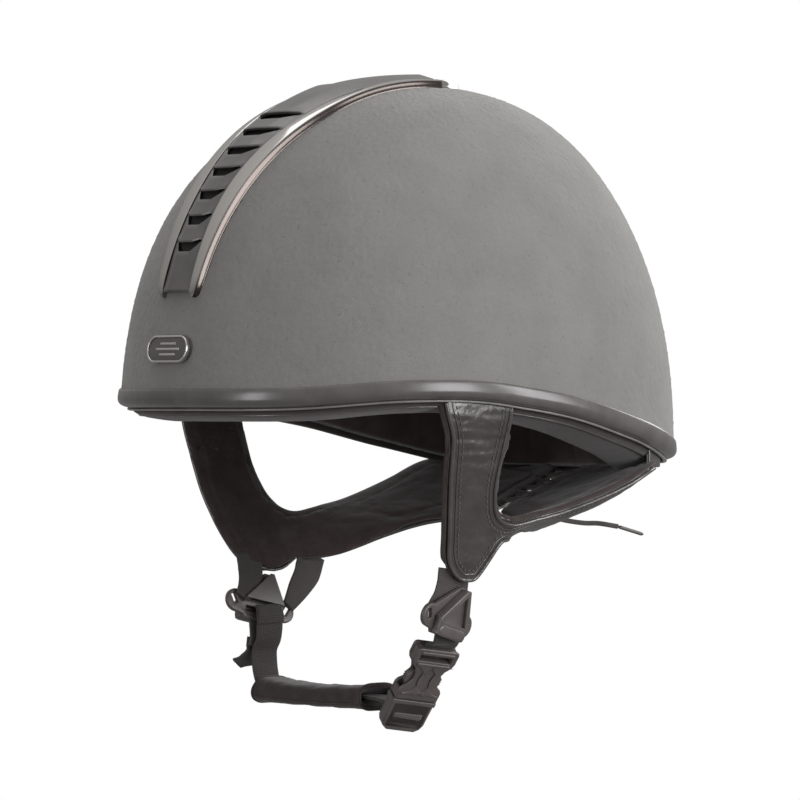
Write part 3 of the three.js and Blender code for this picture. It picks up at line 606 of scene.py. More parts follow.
def edge_trim():
    """Satin edging: an upright face that turns in at the bottom, where a thin lip runs in a lighter copy of
    the trim plastic, a painted highlight.
    """
    face = [(-0.1, 8.9), (-0.8, 8.9), (-1.2, 8.55), (-1.4, 7.8), (-1.55, 6.4), (-1.65, 4.9), (-1.55, 3.7),
            (-1.15, 2.6), (-0.4, 1.7), (0.8, 1.0), (2.2, 0.5), (3.5, 0.1), (3.6, 0.9), (3.6, 3.5),
            (-0.1, 3.6)]
    body = rim_ring("edge_trim_face", face, TRIM_MAT, hard=50)
    bead = [(4.0 - 0.95 * math.cos(a), -0.55 + 0.6 * math.sin(a)) for a in np.linspace(-1.9, 1.9, 12)]
    # the lip's lighter material is a painted highlight
    lip = rim_ring("edge_trim_lip", bead + [(4.9, 0.3), (4.9, -0.9)], TRIM_LIP_HIGHLIGHT_MAT)
    obj = joined("edge_trim_whole", [body, lip])
    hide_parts("edge_trim")
    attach(obj, "helmet")


def liner_binding():
    """Cloth band round the lower edge of the liner, with a thin piping along its outer side."""
    section = [(5.6, -0.9), (6.4, -1.9), (7.8, -2.9), (9.8, -3.7), (12.5, -4.4), (16, -5.0), (20, -5.6),
               (24, -6.0), (26.8, -6.0), (28.2, -5.2), (28.3, -4.0), (27.6, -3.0), (18, -2.2), (8.4, -0.6)]

    def ripple(degrees, k):
        return 0.25 * wobble((degrees * 1.9, k * 3.0, 0), 6)

    cloth = rim_ring("liner_binding_cloth", section, BAND, ripple=ripple)
    piping = [(8.9 + 0.55 * math.cos(a), -3.2 + 0.55 * math.sin(a)) for a in circle(8)]
    # the piping's lighter leather is a painted highlight
    seam = rim_ring("liner_binding_piping", piping, LIT_PIPING)
    obj = joined("liner_binding_cloth", [cloth, seam])
    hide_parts("liner_binding")
    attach(obj, "helmet")


def dome_skin(name, inset, low_offset, material, thickness, bulge=None):
    """A closed skin inside the dome, from low_offset above the rim up, that thickens outwards."""
    points, faces = dome_grid(160, 40, low_offset, inset, bulge)
    obj = mesh_from(name, points, faces, material)
    turn_outward(obj)
    modify(obj, "SOLIDIFY", thickness=thickness * MM, offset=1)
    return apply_all(obj)


def liner():
    """The foam liner's skin: only its inner face and lower edge can be seen."""
    obj = dome_skin("impact_liner_skin", 27.9, -2.9, FOAM_MAT, 18)
    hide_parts("impact_liner_front", "impact_liner_rear", "impact_liner_crown")
    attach(obj, "helmet")


def crown_padding():
    """Quilted pad over the crown, sewn into panels."""
    def bulge(degrees, rise):
        panel = abs(math.sin(math.radians(degrees * 4)))
        ring = abs(math.sin(math.pi * 3 * rise))
        return 1.6 * (panel ** 0.35) * (ring ** 0.35)

    obj = dome_skin("crown_padding_quilt", 29.6, 34.5, LINING, 1.0, bulge)
    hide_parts("crown_padding")
    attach(obj, "helmet")


def headband():
    """Puffy band that touches the head, with a seam every 18 degrees."""
    inner = [(28.6 + 6.2 * math.sin(math.pi * t) ** 0.6, -3 + 36 * t) for t in np.linspace(0, 1, 16)]
    section = [(28.5, 33)] + inner[::-1]

    def ripple(degrees, k):
        seam = abs(math.sin(math.radians(degrees * 10)))
        depth = math.sin(math.pi * share(k, 0, 16))
        return depth * (2.2 * (seam ** 0.3 - 1) + 0.5 * wobble((degrees, k * 2.0, 3), 9))

    obj = rim_ring("headband_pad", section, LINING, stations=360, ripple=ripple)
    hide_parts("headband")
    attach(obj, "helmet")


# ------------------------------------------------------------------ vent strip and badge
def arm_profile(inner, outer, high):
    """(x, height) points of one arm of the bezel, from the louvre's side out to the shell."""
    return [(inner, 0.3), (inner, high - 0.4), (inner + 0.25, high - 0.06), (inner + 0.6, high),
            (outer - 1.5, high + 0.1), (outer - 1.05, high - 0.02), (outer - 0.75, high - 0.4),
            (outer - 0.5, high * 0.55), (outer - 0.3, high * 0.3), (outer - 0.12, high * 0.2),
            (outer, high * 0.12), (outer, -0.3), (inner, -0.3)]


# the outer flank's darker metal is painted shade
FLANK_POINTS = range(6, 12)          # points of an arm's profile that bound its dark outer flank


def finger_end(degrees):
    """From 0 at the arm's rounded front end to 1 where it has its full width and height."""
    from_tip = share(degrees, STRIP["front"] - 0.6, 4.2)
    return math.sqrt(max(0.0, 1 - (1 - from_tip) ** 2))


def vent_bezel():
    """Two arms from the brow to the crown, and the cap that closes the strip behind it."""
    stations = np.append(np.linspace(STRIP["front"] - 0.6, 18, 14), np.linspace(18.8, STRIP["cap"] + 0.6, 76))
    parts = []
    for side in (-1, 1):
        loops = []
        for d in stations:
            inner, round_off = louvre_half(d) + 0.35, finger_end(d)
            outer = inner + 1.9 + max(0.8, bezel_half(d) - inner - 1.9) * round_off
            profile = arm_profile(inner, outer, STRIP["bezel_proud"] - 1.4 * (1 - round_off))
            loops.append([strip_point(side * x, d, h) for x, h in profile])
        arm = loops_mesh("arm", loops, BEZEL_MAT)
        # the flank faces get the darker copy of the metal: painted shade
        arm.data.materials.append(FLANK_SHADE_MAT)
        size = len(loops[0])
        for face in arm.data.polygons:
            if len(face.vertices) == 4 and all(v % size in FLANK_POINTS for v in face.vertices):
                face.material_index = 1
        parts.append(arm)
    loops = []
    for d in np.append(np.linspace(STRIP["cap"] + 0.4, STRIP["rear"] - 0.6, 22), STRIP["rear"] - 0.2):
        high = STRIP["bezel_proud"] - 1.9 * share(d, STRIP["rear"] - 4.5, 4.3)
        half = arm_profile(0, max(3.2, bezel_half(d)), high)[3:-1]
        loops.append([strip_point(x, d, h) for x, h in half[::-1]] + [strip_point(-x, d, h) for x, h in half])
    parts.append(loops_mesh("cap", loops, BEZEL_MAT))
    obj = joined("vent_bezel_frame", parts, 28)
    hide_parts("vent_bezel")
    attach(obj, "helmet")


# places across a plate as shares of its half width, close together where the slots end
HALF_COLUMNS = [0.1, 0.3, 0.43, 0.46, 0.54, 0.63, 0.72, 0.8, 0.87, 0.93, 0.97, 1]
COLUMNS = [-u for u in HALF_COLUMNS[::-1]] + HALF_COLUMNS
SLOT_REACH = 0.87


def ridge_at(u):
    """Height of the ridge along the plates' middle."""
    return STRIP["ridge"] * min(1, (1 - abs(u)) / 0.55)


def slatted_plate(name, start, end, slots):
    """A ridged plate of the strip. slots lists the angles at which a crescent slot is open."""
    # each row: angle, bend at the sides, lift, whether the slot opens above it
    rows = [(start, 0, -0.5, False), (start + 0.35, 0, 0, False)]
    for middle in slots:
        rows += [(middle - 2.2, 1.7, 0, False), (middle - 1.45, 2.3, -0.1, False),
                 (middle - 1.1, 2.4, -0.5, True),
                 (middle + 0.65, 0.85, 0.3, False), (middle + 0.95, 0.85, 0.55, False),
                 (middle + 1.9, 0.6, 0.3, False), (middle + 2.8, 0.2, 0.05, False)]
    for angle in np.linspace(rows[-1][0] + 0.7, end - 0.5, 12):
        rows.append((angle, 0, 0, False))
    rows.append((end, 0, -0.35, False))

    def station(u, row):
        angle, bend, lift, _ = row
        degrees = min(max(angle + bend * share(abs(u), 0.42, 0.45) ** 1.15, start), end)
        height = STRIP["louvre_proud"] + ridge_at(u) + STRIP["rise"] * share(degrees, start, end - start) ** 2
        height += lift * (1 if abs(u) < 0.9 else 0.25)
        return strip_point(u * louvre_half(degrees), degrees, height)

    points = [station(u, row) for row in rows for u in COLUMNS]
    width = len(COLUMNS)
    faces = []
    for i, row in enumerate(rows[:-1]):
        for j in range(width - 1):
            if row[3] and abs(COLUMNS[j] + COLUMNS[j + 1]) / 2 < SLOT_REACH:
                continue
            a = i * width + j
            faces.append((a, a + 1, a + width + 1, a + width))
    obj = mesh_from(name, points, faces, LOUVRE_MAT)
    turn_outward(obj)
    if obj.data.polygons[0].normal.dot(Vector((0, -1, 0.3))) < 0:
        obj.data.flip_normals()
    modify(obj, "SOLIDIFY", thickness=1.5 * MM, offset=-1, use_even_offset=True)
    modify(obj, "BEVEL", width=0.2 * MM, segments=2, limit_method="ANGLE", angle_limit=math.radians(38))
    return apply_all(obj, 24)


def vent_plates():
    """The louvre with its slots, and the plain plate behind it."""
    slots = [STRIP["first_slot"] + k * STRIP["pitch"] for k in range(STRIP["slots"])]
    louvre = slatted_plate("vent_louvre_slats", STRIP["front"] + 0.3, STRIP["louvre_rear"], slots)
    crown = slatted_plate("vent_crown_cap", STRIP["louvre_rear"] - 0.2, STRIP["cap"], [])
    for obj, node in ((louvre, "vent_louvre"), (crown, "vent_crown_plate")):
        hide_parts(node)
        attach(obj, "helmet")


def rounded_plate(name, outlines, depth, edge, material):
    """A flat plate with holes and rounded edges, from outlines in its own plane, centred on it."""
    curve = bpy.data.curves.new(name, "CURVE")
    curve.dimensions = "2D"
    curve.fill_mode = "BOTH"
    curve.extrude = (depth / 2 - edge) * MM
    curve.bevel_depth = edge * MM
    curve.bevel_resolution = 3
    curve.offset = -edge * MM
    for outline in outlines:
        add_line(curve, [(x, y, 0) for x, y in outline]).use_cyclic_u = True
    holder = add_object(name, curve)
    bpy.context.view_layer.update()
    mesh = bpy.data.meshes.new_from_object(holder.evaluated_get(bpy.context.evaluated_depsgraph_get()))
    bpy.data.objects.remove(holder)
    obj = add_object(name, mesh)
    mesh.materials.clear()
    mesh.materials.append(material)
    bm = bmesh.new()
    bm.from_mesh(mesh)
    bmesh.ops.remove_doubles(bm, verts=bm.verts, dist=1e-6)
    bm.to_mesh(mesh)
    bm.free()
    turn_outward(obj)
    finish_shading(obj, 35)
    return obj


def arc(x, y, radius, start, end, steps=8):
    return [(x + radius * math.cos(math.radians(a)), y + radius * math.sin(math.radians(a)))
            for a in np.linspace(start, end, steps)]


def stadium(width, height):
    r, half = height / 2, width / 2 - height / 2
    return arc(half, 0, r, -90, 90, 16) + arc(-half, 0, r, 90, 270, 16)


def shift(x=0.0, y=0.0, z=0.0):
    return Matrix.Translation(Vector((x, y, z)) * MM)


def badge():
    """A plain plate in a plated rim, with a motif of three bars."""
    front, behind = dome(0, BADGE["z"]), dome(0, BADGE["z"] + 6)
    lean = math.atan2(behind[1] - front[1], 6)
    pose = shift(0, front[1] - 0.6, BADGE["z"]) @ Matrix.Rotation(math.pi / 2 - lean, 4, "X")
    w, h, rim = BADGE["width"], BADGE["height"], BADGE["rim"]
    ring = [stadium(w, h), stadium(w - 2 * rim, h - 2 * rim)]
    body = rounded_plate("badge_rim_ring", ring, BADGE["thickness"], 0.35, RIM_MAT)
    place(body, pose @ shift(z=BADGE["thickness"] / 2))
    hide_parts("badge_rim")
    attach(body, "helmet")
    inset = 2 * (rim + 0.1)
    face = rounded_plate("badge_face", [stadium(w - inset, h - inset)], 1.3, 0.2, LOUVRE_MAT)
    place(face, pose @ shift(z=0.7))
    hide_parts("badge_plate")
    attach(face, "helmet")
    bars = []
    for y, length in ((2.5, 12), (0, 18), (-2.5, 12)):
        bar = rounded_plate("bar", [stadium(length, 1.1)], 0.8, 0.2, RIM_MAT)
        bars.append(place(bar, pose @ shift(0, y, 1.25)))
    motif = joined("badge_bars", bars)
    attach(motif, "helmet")


# ------------------------------------------------------------------ harness leather
STRAP_INSET = 5.6         # how far inside the shell's surface the straps go up
STRAP_BOW = 0.8           # how far the strap's middle stands out past its edges
LEATHER_THICKNESS = 1.5
SLING_PUFF = 3.2          # how far the sling's padded part stands out
PAD_BLEND = 14            # over how much of y the padding sets in
STRAP_HIDDEN = [(20, -56, -23), (8, -55.8, -22.6), (-3, -55.2, -22)]     # z, front y, rear y
STRAP = {
    # z, front x, front y, rear x, rear y; down to the crotch, the neck of the branch and the tip
    "left": [(-12, 99.8, -49.2, 103.2, -21.9), (-22, 96, -46.8, 99.8, -21.9),
             (-34, 91.5, -44.6, 94.5, -21.6), (-44, 88.2, -42.2, 89.8, -18.8),
             (-53, 84.8, -39.8, 85.3, -14.2), (-56.5, 83.5, -38.8, 83.6, -9.4),
             (-61.5, 81.7, -37.4, 80.8, -6.6), (-69, 78.9, -36, 78.2, -10.4),
             (-76, 76.3, -31.8, 76.1, -14.6), (-80, 74.9, -25.4, 74.7, -17.6)],
    "right": [(-12, 99.8, -54.6, 103.2, -22.5), (-22, 96, -54, 99.8, -22.2),
              (-34, 91.5, -53.4, 94.5, -21.8), (-44, 88.2, -51.8, 89.8, -18.8),
              (-52, 84.8, -49.6, 85.3, -14.2), (-58, 82.8, -47.6, 82.6, -9.6),
              (-64.5, 80.4, -44.6, 79.6, -6.4), (-71.5, 77.9, -40.9, 77, -6.4),
              (-75.6, 76.5, -35.6, 75.5, -12.2), (-78.4, 75.3, -29.4, 75.1, -17.2)],
}
NECK = {"left": (4, 6), "right": (4, 7)}      # rows of STRAP between which the branch leaves
OUTER_EDGE = [(83.6, -3.5, -56.2), (83, 5, -55), (82.4, 15, -52.6), (82.5, 28, -50.6), (84.5, 48, -44.4),
              (86, 68, -37.6), (85.2, 84.4, -28.6), (64, 101, -30.8), (34, 108, -33), (6.5, 104, -33)]
INNER_EDGE = {
    "left": [(77.5, 0.5, -62), (70, 7, -61.6), (61, 15, -60.8), (50, 27, -59.8), (39, 42, -58.4),
             (30, 50, -57), (22, 54.5, -55.6), (15, 56.5, -54.2), (10, 57.5, -53.4), (6.5, 58, -53)],
    "right": [(73.5, -2, -73.6), (66, 6, -72.4), (58, 15, -69), (49, 27, -62.4), (38, 42, -57),
              (29, 50, -55), (21, 54.5, -54), (15, 56.5, -53.4), (10, 57.5, -53), (6.5, 58, -53)],
}
LINING_LEAD = {"left": 3.6, "right": 3.2}     # how far the padded lining stands out past the leather's edge
TIP_FROM = 70             # how far down the lining starts to draw in, so that the dividers can swing
PAD_FROM = 22             # y where the sling's padded part starts
LACING_GAP = 7.5          # half the gap between the sling's two halves


def bowed(front, rear, u, z, bow):
    """A point between the two edges of the strap, bowed outwards in the middle."""
    x = front[0] + (rear[0] - front[0]) * u + bow * math.sin(math.pi * u)
    return (x, front[1] + (rear[1] - front[1]) * u, z)


def leather_cage(word):
    """Coarse control mesh of the front strap with the branch that leaves its rear edge."""
    columns = (0, 0.33, 0.67, 1)
    rows = []
    for z, front, rear in STRAP_HIDDEN:
        along = [front + (rear - front) * u for u in columns]
        rows.append([(side_x(y, z, STRAP_INSET), y, z) for y in along])
    for z, fx, fy, rx, ry in STRAP[word]:
        rows.append([bowed((fx, fy), (rx, ry), u, z, STRAP_BOW) for u in columns])
    points = [p for row in rows for p in row]
    width = len(columns)
    faces = grid_faces(len(rows), width)
    first, last = (len(STRAP_HIDDEN) + k for k in NECK[word])
    previous = [r * width + width - 1 for r in range(first, last + 1)]
    for outer, inner in zip(np.array(OUTER_EDGE), np.array(INNER_EDGE[word])):
        row = []
        for t in np.arange(len(previous)) / (len(previous) - 1):
            row.append(len(points))
            points.append(tuple(outer + (inner - outer) * t))
        faces += [(previous[s + 1], previous[s], row[s], row[s + 1]) for s in range(len(row) - 1)]
        previous = row
    return points, faces


def boundary_line(obj):
    """The ordered outline of an open sheet, as vertex indices."""
    counts = {}
    for polygon in obj.data.polygons:
        for key in polygon.edge_keys:
            counts[key] = counts.get(key, 0) + 1
    links = {}
    for (a, b), n in counts.items():
        if n == 1:
            links.setdefault(a, []).append(b)
            links.setdefault(b, []).append(a)
    start = min(links)
    line, previous, here = [start], None, start
    while True:
        following = [v for v in links[here] if v != previous]
        previous, here = here, following[0]
        if here == start:
            return line
        line.append(here)


def crease(point):
    """Relief of soft leather: folds across the top of the strap and below its crotch."""
    x, y, z = point
    top = math.exp(-((z + 18) / 14) ** 2)
    neck = math.exp(-((z + 60) / 7) ** 2) * share(y, -24, 12)
    folds = wobble((x * 0.4, y * 0.5, z * 1.6), 5.5) * (0.5 + 1.3 * top + 1.0 * neck)
    fine = 0.18 * wobble(point, 2.2, 7)
    return 0.55 * folds + fine


def padding_at(places):
    """0 on the strap and branch, 1 on the sling's padded part."""
    return np.clip((places[:, 1] - PAD_FROM) / PAD_BLEND, 0, 1)


def leather_sheet(word):
    """Outer leather of one side: an open, creased sheet, its outline and each point's depth from it."""
    points, faces = leather_cage(word)
    obj = mesh_from("sheet", points, faces, LEATHER)
    modify(obj, "SUBSURF", levels=4, render_levels=4, boundary_smooth="ALL")
    apply_all(obj)
    mesh = obj.data
    if mesh.polygons[len(mesh.polygons) // 6].normal.x < 0:
        mesh.flip_normals()
    places, normals = vertex_arrays(mesh)
    line = boundary_line(obj)
    outline = KDTree(len(line))
    for k, i in enumerate(line):
        outline.insert(Vector(places[i]), k)
    outline.balance()
    depth = np.array([outline.find(Vector(p))[2] for p in places])
    plump = SLING_PUFF * padding_at(places) * (1 - np.exp(-(depth / 5) ** 2))
    creased = np.array([crease(p) for p in places]) * 0.8 * np.clip(depth / 1.5, 0, 1)
    move_vertices(mesh, places + normals * (plump + creased)[:, None])
    if word == "right":
        mesh.transform(Matrix.Scale(-1, 4, Vector((1, 0, 0))))
        mesh.flip_normals()
    mesh.update()
    return obj, line, depth


def outline_frames(obj, line):
    """Points, normals and outward directions along the sheet's outline."""
    places, normals = vertex_arrays(obj.data)
    points, facing = places[line], normals[line]
    around = np.vstack([points[-1:], points, points[:1]])
    tangents = around[2:] - around[:-2]
    tangents /= np.linalg.norm(tangents, axis=1)[:, None] + 1e-9
    outward = np.cross(tangents, facing)
    inside = {v for face in obj.data.polygons for v in face.vertices} - set(line)
    tree = KDTree(len(inside))
    for v in inside:
        tree.insert(Vector(places[v]), v)
    tree.balance()
    middle = len(line) // 3
    near = places[tree.find(Vector(points[middle]))[1]]
    if np.dot(outward[middle], near - points[middle]) > 0:
        outward = -outward
    return points, facing, outward


def runs_where(points, keep, shortest=20):
    """The runs of neighbouring points of a closed outline for which keep(point) holds."""
    flags = [bool(keep(p)) for p in points]
    start = flags.index(False)
    runs, run = [], []
    for k in range(len(points) + 1):
        i = (start + k) % len(points)
        if flags[i]:
            run.append(i)
        elif run:
            runs.append(run)
            run = []
    return [r for r in runs if len(r) > shortest]


def smooth_line(points, rounds=3):
    """The same line with its kinks averaged out and its ends kept."""
    p = np.array(points, float)
    for _ in range(rounds):
        p[1:-1] = (p[:-2] + 2 * p[1:-1] + p[2:]) / 4
    return p


def on_sheet(tree, points, lift):
    """Points dropped onto the sheet's face and lifted off it."""
    out = []
    for p in points:
        spot, normal, _, _ = tree.find_nearest(Vector(p) * MM)
        out.append(np.array(spot / MM) + np.array(normal) * lift)
    return np.array(out)


STITCH = {"length": 1.9, "every": 2.9, "radius": 0.3, "sides": 6, "step": 0.2}


def stitches(name, line):
    """Short raised threads along a line, one object."""
    fine = spaced(line, STITCH["step"])
    reach = int(round(STITCH["length"] / STITCH["step"]))
    pace = int(round(STITCH["every"] / STITCH["step"]))
    points, faces = [], []
    sides = STITCH["sides"]
    for start in range(0, len(fine) - reach, pace):
        piece = fine[start:start + reach + 1:max(1, reach // 4)]
        sideways, normals = frames_along(piece)
        first = len(points)
        for i, p in enumerate(piece):
            narrowed = max(0.08, math.sin(math.pi * (i + 0.25) / (len(piece) - 0.5)))
            r = STITCH["radius"] * math.sqrt(narrowed)
            points += [p + r * (math.cos(a) * sideways[i] + math.sin(a) * normals[i])
                       for a in circle(sides)]
        faces += grid_faces(len(piece), sides, wrap_columns=True, first=first)
        faces.append(tuple(range(first, first + sides))[::-1])
        end = first + (len(piece) - 1) * sides
        faces.append(tuple(range(end, end + sides)))
    obj = mesh_from(name, points, faces, THREAD)
    turn_outward(obj)
    return obj


def seen_edge(p):
    """Whether a point of the leather's outline is below the trim and not at the lacing."""
    return p[2] < 2 and not (abs(p[0]) < LACING_GAP and p[1] > 50)


SEAM_INSET = 4.2          # from the leather's edge in to the stitching
GROOVE_INSET = 2.4        # and to the pressed line outside it
PIPING_STEP = 0.9


def leather_side(word):
    """Front strap, branch and nape half of one side: leather, piping, stitching and lining."""
    sheet, line, depth = leather_sheet(word)
    tree = BVHTree.FromObject(sheet, bpy.context.evaluated_depsgraph_get())
    points, facing, outward = outline_frames(sheet, line)
    parts = [sheet]
    for run in runs_where(points, seen_edge):
        rim, up, out = smooth_line(points[run]), facing[run], outward[run]
        seam = smooth_line(on_sheet(tree, smooth_line(rim - out * SEAM_INSET, 8), 0.2), 4)
        groove = smooth_line(on_sheet(tree, smooth_line(rim - out * GROOVE_INSET, 6), 0.05), 4)
        upper = smooth_line(rim + out * 0.5 + up * 0.1)
        lower = smooth_line(rim + out * 1.5 - up * 2.1)
        # the piping's lighter leather is a painted highlight along the edges
        parts.append(tube("piping", spaced(upper, PIPING_STEP), 0.95, LIT_PIPING))
        parts.append(tube("piping", spaced(lower, PIPING_STEP), 0.8, LIT_PIPING, sides=8))
        parts.append(stitches("stitching", seam))
        parts.append(tube("piping", spaced(groove, PIPING_STEP), 0.38, LIT_PIPING, sides=8))
    lining = strap_lining(word, sheet, line, depth, outward)
    modify(sheet, "SOLIDIFY", thickness=LEATHER_THICKNESS * MM, offset=-1)
    apply_all(sheet, 60)
    whole = joined("harness_leather_" + word, parts)
    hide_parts("front_strap_" + word, "rear_branch_" + word, "nape_pad_" + word)
    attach(whole, "helmet")
    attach(lining, "helmet")


def strap_lining(word, sheet, line, depth, outward):
    """The padded cloth behind the leather: it stands out past the leather's edge all round."""
    places, normals = vertex_arrays(sheet.data)
    padded = padding_at(places)
    thick = 2.6 + 1.2 * (1 - np.exp(-(depth / 2.5) ** 2)) + 2.6 * padded * (1 - np.exp(-(depth / 6) ** 2))
    cover = places - normals * 1.2
    behind = places - normals * (1.4 + thick)[:, None]
    soft = np.array([wobble(p, 9, 3) for p in behind]) * 0.5 * np.clip(depth / 4, 0, 1)
    behind += normals * soft[:, None]
    at_tip = np.array([share(-z, TIP_FROM, 7) for z in places[line][:, 2]])
    lead = (LINING_LEAD[word] * (1 - 0.85 * at_tip))[:, None]
    bulge = []
    for share_down, reach in ((0.16, 0.75), (0.5, 1.0), (0.84, 0.75)):
        down = 1.2 + (thick[line] + 0.2) * share_down
        bulge.append(places[line] - normals[line] * down[:, None] + outward * (lead * reach))
    total, rim = len(places), len(line)
    points = np.vstack([cover, behind] + bulge)
    faces = [tuple(p.vertices) for p in sheet.data.polygons]
    faces += [tuple(total + v for v in reversed(f)) for f in faces]
    rings = [list(line)] + [[2 * total + k * rim + i for i in range(rim)] for k in range(3)]
    rings.append([total + v for v in line])
    for upper, lower in zip(rings[:-1], rings[1:]):
        for i in range(rim):
            n = (i + 1) % rim
            faces.append((upper[i], upper[n], lower[n], lower[i]))
    obj = mesh_from("harness_lining_" + word, points, faces, BACKING)
    turn_outward(obj)
    return obj


def rear_tab(word):
    """The leather tab that ties the sling's rear corner up into the shell."""
    side = side_of(word)
    levels, turns = np.linspace(-29.4, -10, 16), np.linspace(130, 140, 20)
    points = [dome(degrees, z, 5.2) * (side, 1, 1) for z in levels for degrees in turns]
    obj = mesh_from("rear_tab_leather_" + word, points, grid_faces(len(levels), len(turns)), LEATHER)
    turn_outward(obj)
    modify(obj, "SOLIDIFY", thickness=2.0 * MM, offset=-1)
    modify(obj, "BEVEL", width=0.6 * MM, segments=2, limit_method="ANGLE", angle_limit=math.radians(50))
    apply_all(obj)
    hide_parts("rear_tab_" + word)
    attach(obj, "helmet")


# ------------------------------------------------------------------ nape lace
LACE_RUNGS = 6
LACE_RADIUS = 1.2
EYELET_SECTION = [(1.4, 0), (1.8, 0.55), (2.4, 0.75), (2.9, 0.45), (3.0, 0.0), (2.4, -0.1)]   # radius, height
EYELET_TILT = 0.41        # radians, the slope of the sling at the lacing
LACE_TAIL = [(27, 74.5, -54.6), (28, 81.5, -55.8), (29, 88.6, -56.6), (30, 96, -56.8), (31.8, 106.6, -58.4)]
AGLET = [(31.9, 107, -58.5), (34.6, 120.5, -62.4)]


def lace_spots():
    """Where the lace goes through the sling, from its lower edge up, on alternate sides."""
    low, high = np.array(INNER_EDGE["left"][-1], float), np.array(OUTER_EDGE[-1], float)
    spots = []
    for rung in range(LACE_RUNGS):
        t = 0.08 + 0.84 * (rung + 0.5) / LACE_RUNGS
        spot = low + (high - low) * t
        spots.append(((-1 if rung % 2 == 0 else 1) * 10.5, spot[1], spot[2] + 3.4))
    return spots


def braid(name, points, radius, material):
    """A round lace: a tube with the helical ripple of its braid."""
    line = spaced(points, 0.35)
    sideways, normals = frames_along(line)
    loops = []
    sides = 14
    for i, p in enumerate(line):
        loop = []
        for k in range(sides):
            a = 2 * math.pi * k / sides
            ripple = 0.10 * math.sin(3 * a + i * 0.8) * math.sin(3 * a - i * 0.8)
            r = radius * (1 + ripple) * (0.6 if i in (0, len(line) - 1) else 1)
            loop.append(p + r * (math.cos(a) * sideways[i] + math.sin(a) * normals[i]))
        loops.append(loop)
    return loops_mesh(name, loops, material)


def nape_lacing():
    """Two laces that cross between the sling's halves, and an eyelet ring at each of their holes."""
    spots = lace_spots()
    mirrored = [(-x, y, z - 0.6) for x, y, z in spots]
    laces = [braid("lace", catmull(line, 60), 1.15, LACE_MAT) for line in (spots, mirrored)]
    obj = joined("nape_lace_braid", laces)
    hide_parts("nape_lace")
    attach(obj, "helmet")
    for index, (x, y, z) in enumerate(spots):
        rings = []
        for mirror in (1, -1):
            loops = [[(r * math.cos(a), r * math.sin(a), h) for r, h in EYELET_SECTION] for a in circle(28)]
            ring = loops_mesh("eyelet", loops, EYELET_MAT, closed=True)
            tilt = Matrix.Rotation(EYELET_TILT, 4, "X")
            rings.append(place(ring, shift(mirror * x, y, z - 2.0) @ tilt))
        eyelet = joined("lace_eyelet_ring_%d" % (index + 1), rings)
        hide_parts("lace_eyelet_%d" % (index + 1))
        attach(eyelet, "helmet")


def lace_end():
    """The loose end of the lace, which comes out under the sling and ends in a sheath."""
    curve = bpy.data.curves.new("lace_tail_cord", "CURVE")
    curve.dimensions = "3D"
    curve.bevel_depth = LACE_RADIUS * MM
    curve.bevel_resolution = 4
    curve.use_fill_caps = True
    route = spaced(catmull(LACE_TAIL, 60), 0.8)
    add_line(curve, route)
    cord = add_object("lace_tail_cord", curve)
    curve.materials.append(LACE_MAT)
    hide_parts("lace_tail")
    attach(cord, "helmet")
    line = spaced(AGLET, 1.0)
    sheath = tube("lace_aglet_sheath", line, 0.9, ACETAL, sides=14)
    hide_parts("lace_aglet")
    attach(sheath, "helmet")


# ------------------------------------------------------------------ webbing
RIPPLE = 0.22             # slow wave of a web's surface
FRAY = 0.0375             # fine roughness of its yarns


def web(name, stations, material, thickness=WEB["thickness"], per_span=8):
    """A flat web along stations of (point, across, width): rounded edges, a soft ripple, woven UVs."""
    centre = catmull([s[0] for s in stations], per_span * (len(stations) - 1) + 1)
    count = len(centre)
    spots = np.linspace(0, len(stations) - 1, count)
    numbers = range(len(stations))
    wide = np.stack([np.interp(spots, numbers, [s[1][k] for s in stations]) for k in range(3)], axis=1)
    widths = np.interp(spots, numbers, [s[2] for s in stations])
    tangents = np.gradient(centre, axis=0)
    lengths = np.r_[0, np.cumsum(np.linalg.norm(np.diff(centre, axis=0), axis=1))]
    section = [(-0.5, 0), (-0.485, 0.36), (-0.45, 0.5), (-0.3, 0.5), (-0.15, 0.5), (0, 0.5), (0.15, 0.5),
               (0.3, 0.5), (0.45, 0.5), (0.485, 0.36), (0.5, 0)]
    section += [(u, -v) for u, v in section[1:-1]][::-1]
    loops = []
    for i in range(count):
        t = tangents[i] / np.linalg.norm(tangents[i])
        a = wide[i] - t * np.dot(t, wide[i])
        a /= np.linalg.norm(a)
        n = np.cross(t, a)
        loop = []
        for u, v in section:
            slow = RIPPLE * wobble((lengths[i], u * 14, 5), 6)
            fine = FRAY * wobble((lengths[i], u * 9, 0), 1.4)
            loop.append(centre[i] + a * (u * widths[i]) + n * (v * thickness + (slow + fine)))
        loops.append(loop)
    obj = loops_mesh(name, loops, material)
    layer = obj.data.uv_layers.new(name="weave")
    around = [widths[0] * (u + 0.5) for u, _ in section]
    size = len(section)
    for polygon in obj.data.polygons:
        for corner in polygon.loop_indices:
            v = obj.data.loops[corner].vertex_index
            row, column = divmod(v, size)
            layer.data[corner].uv = (around[column], lengths[min(row, count - 1)])
    return obj


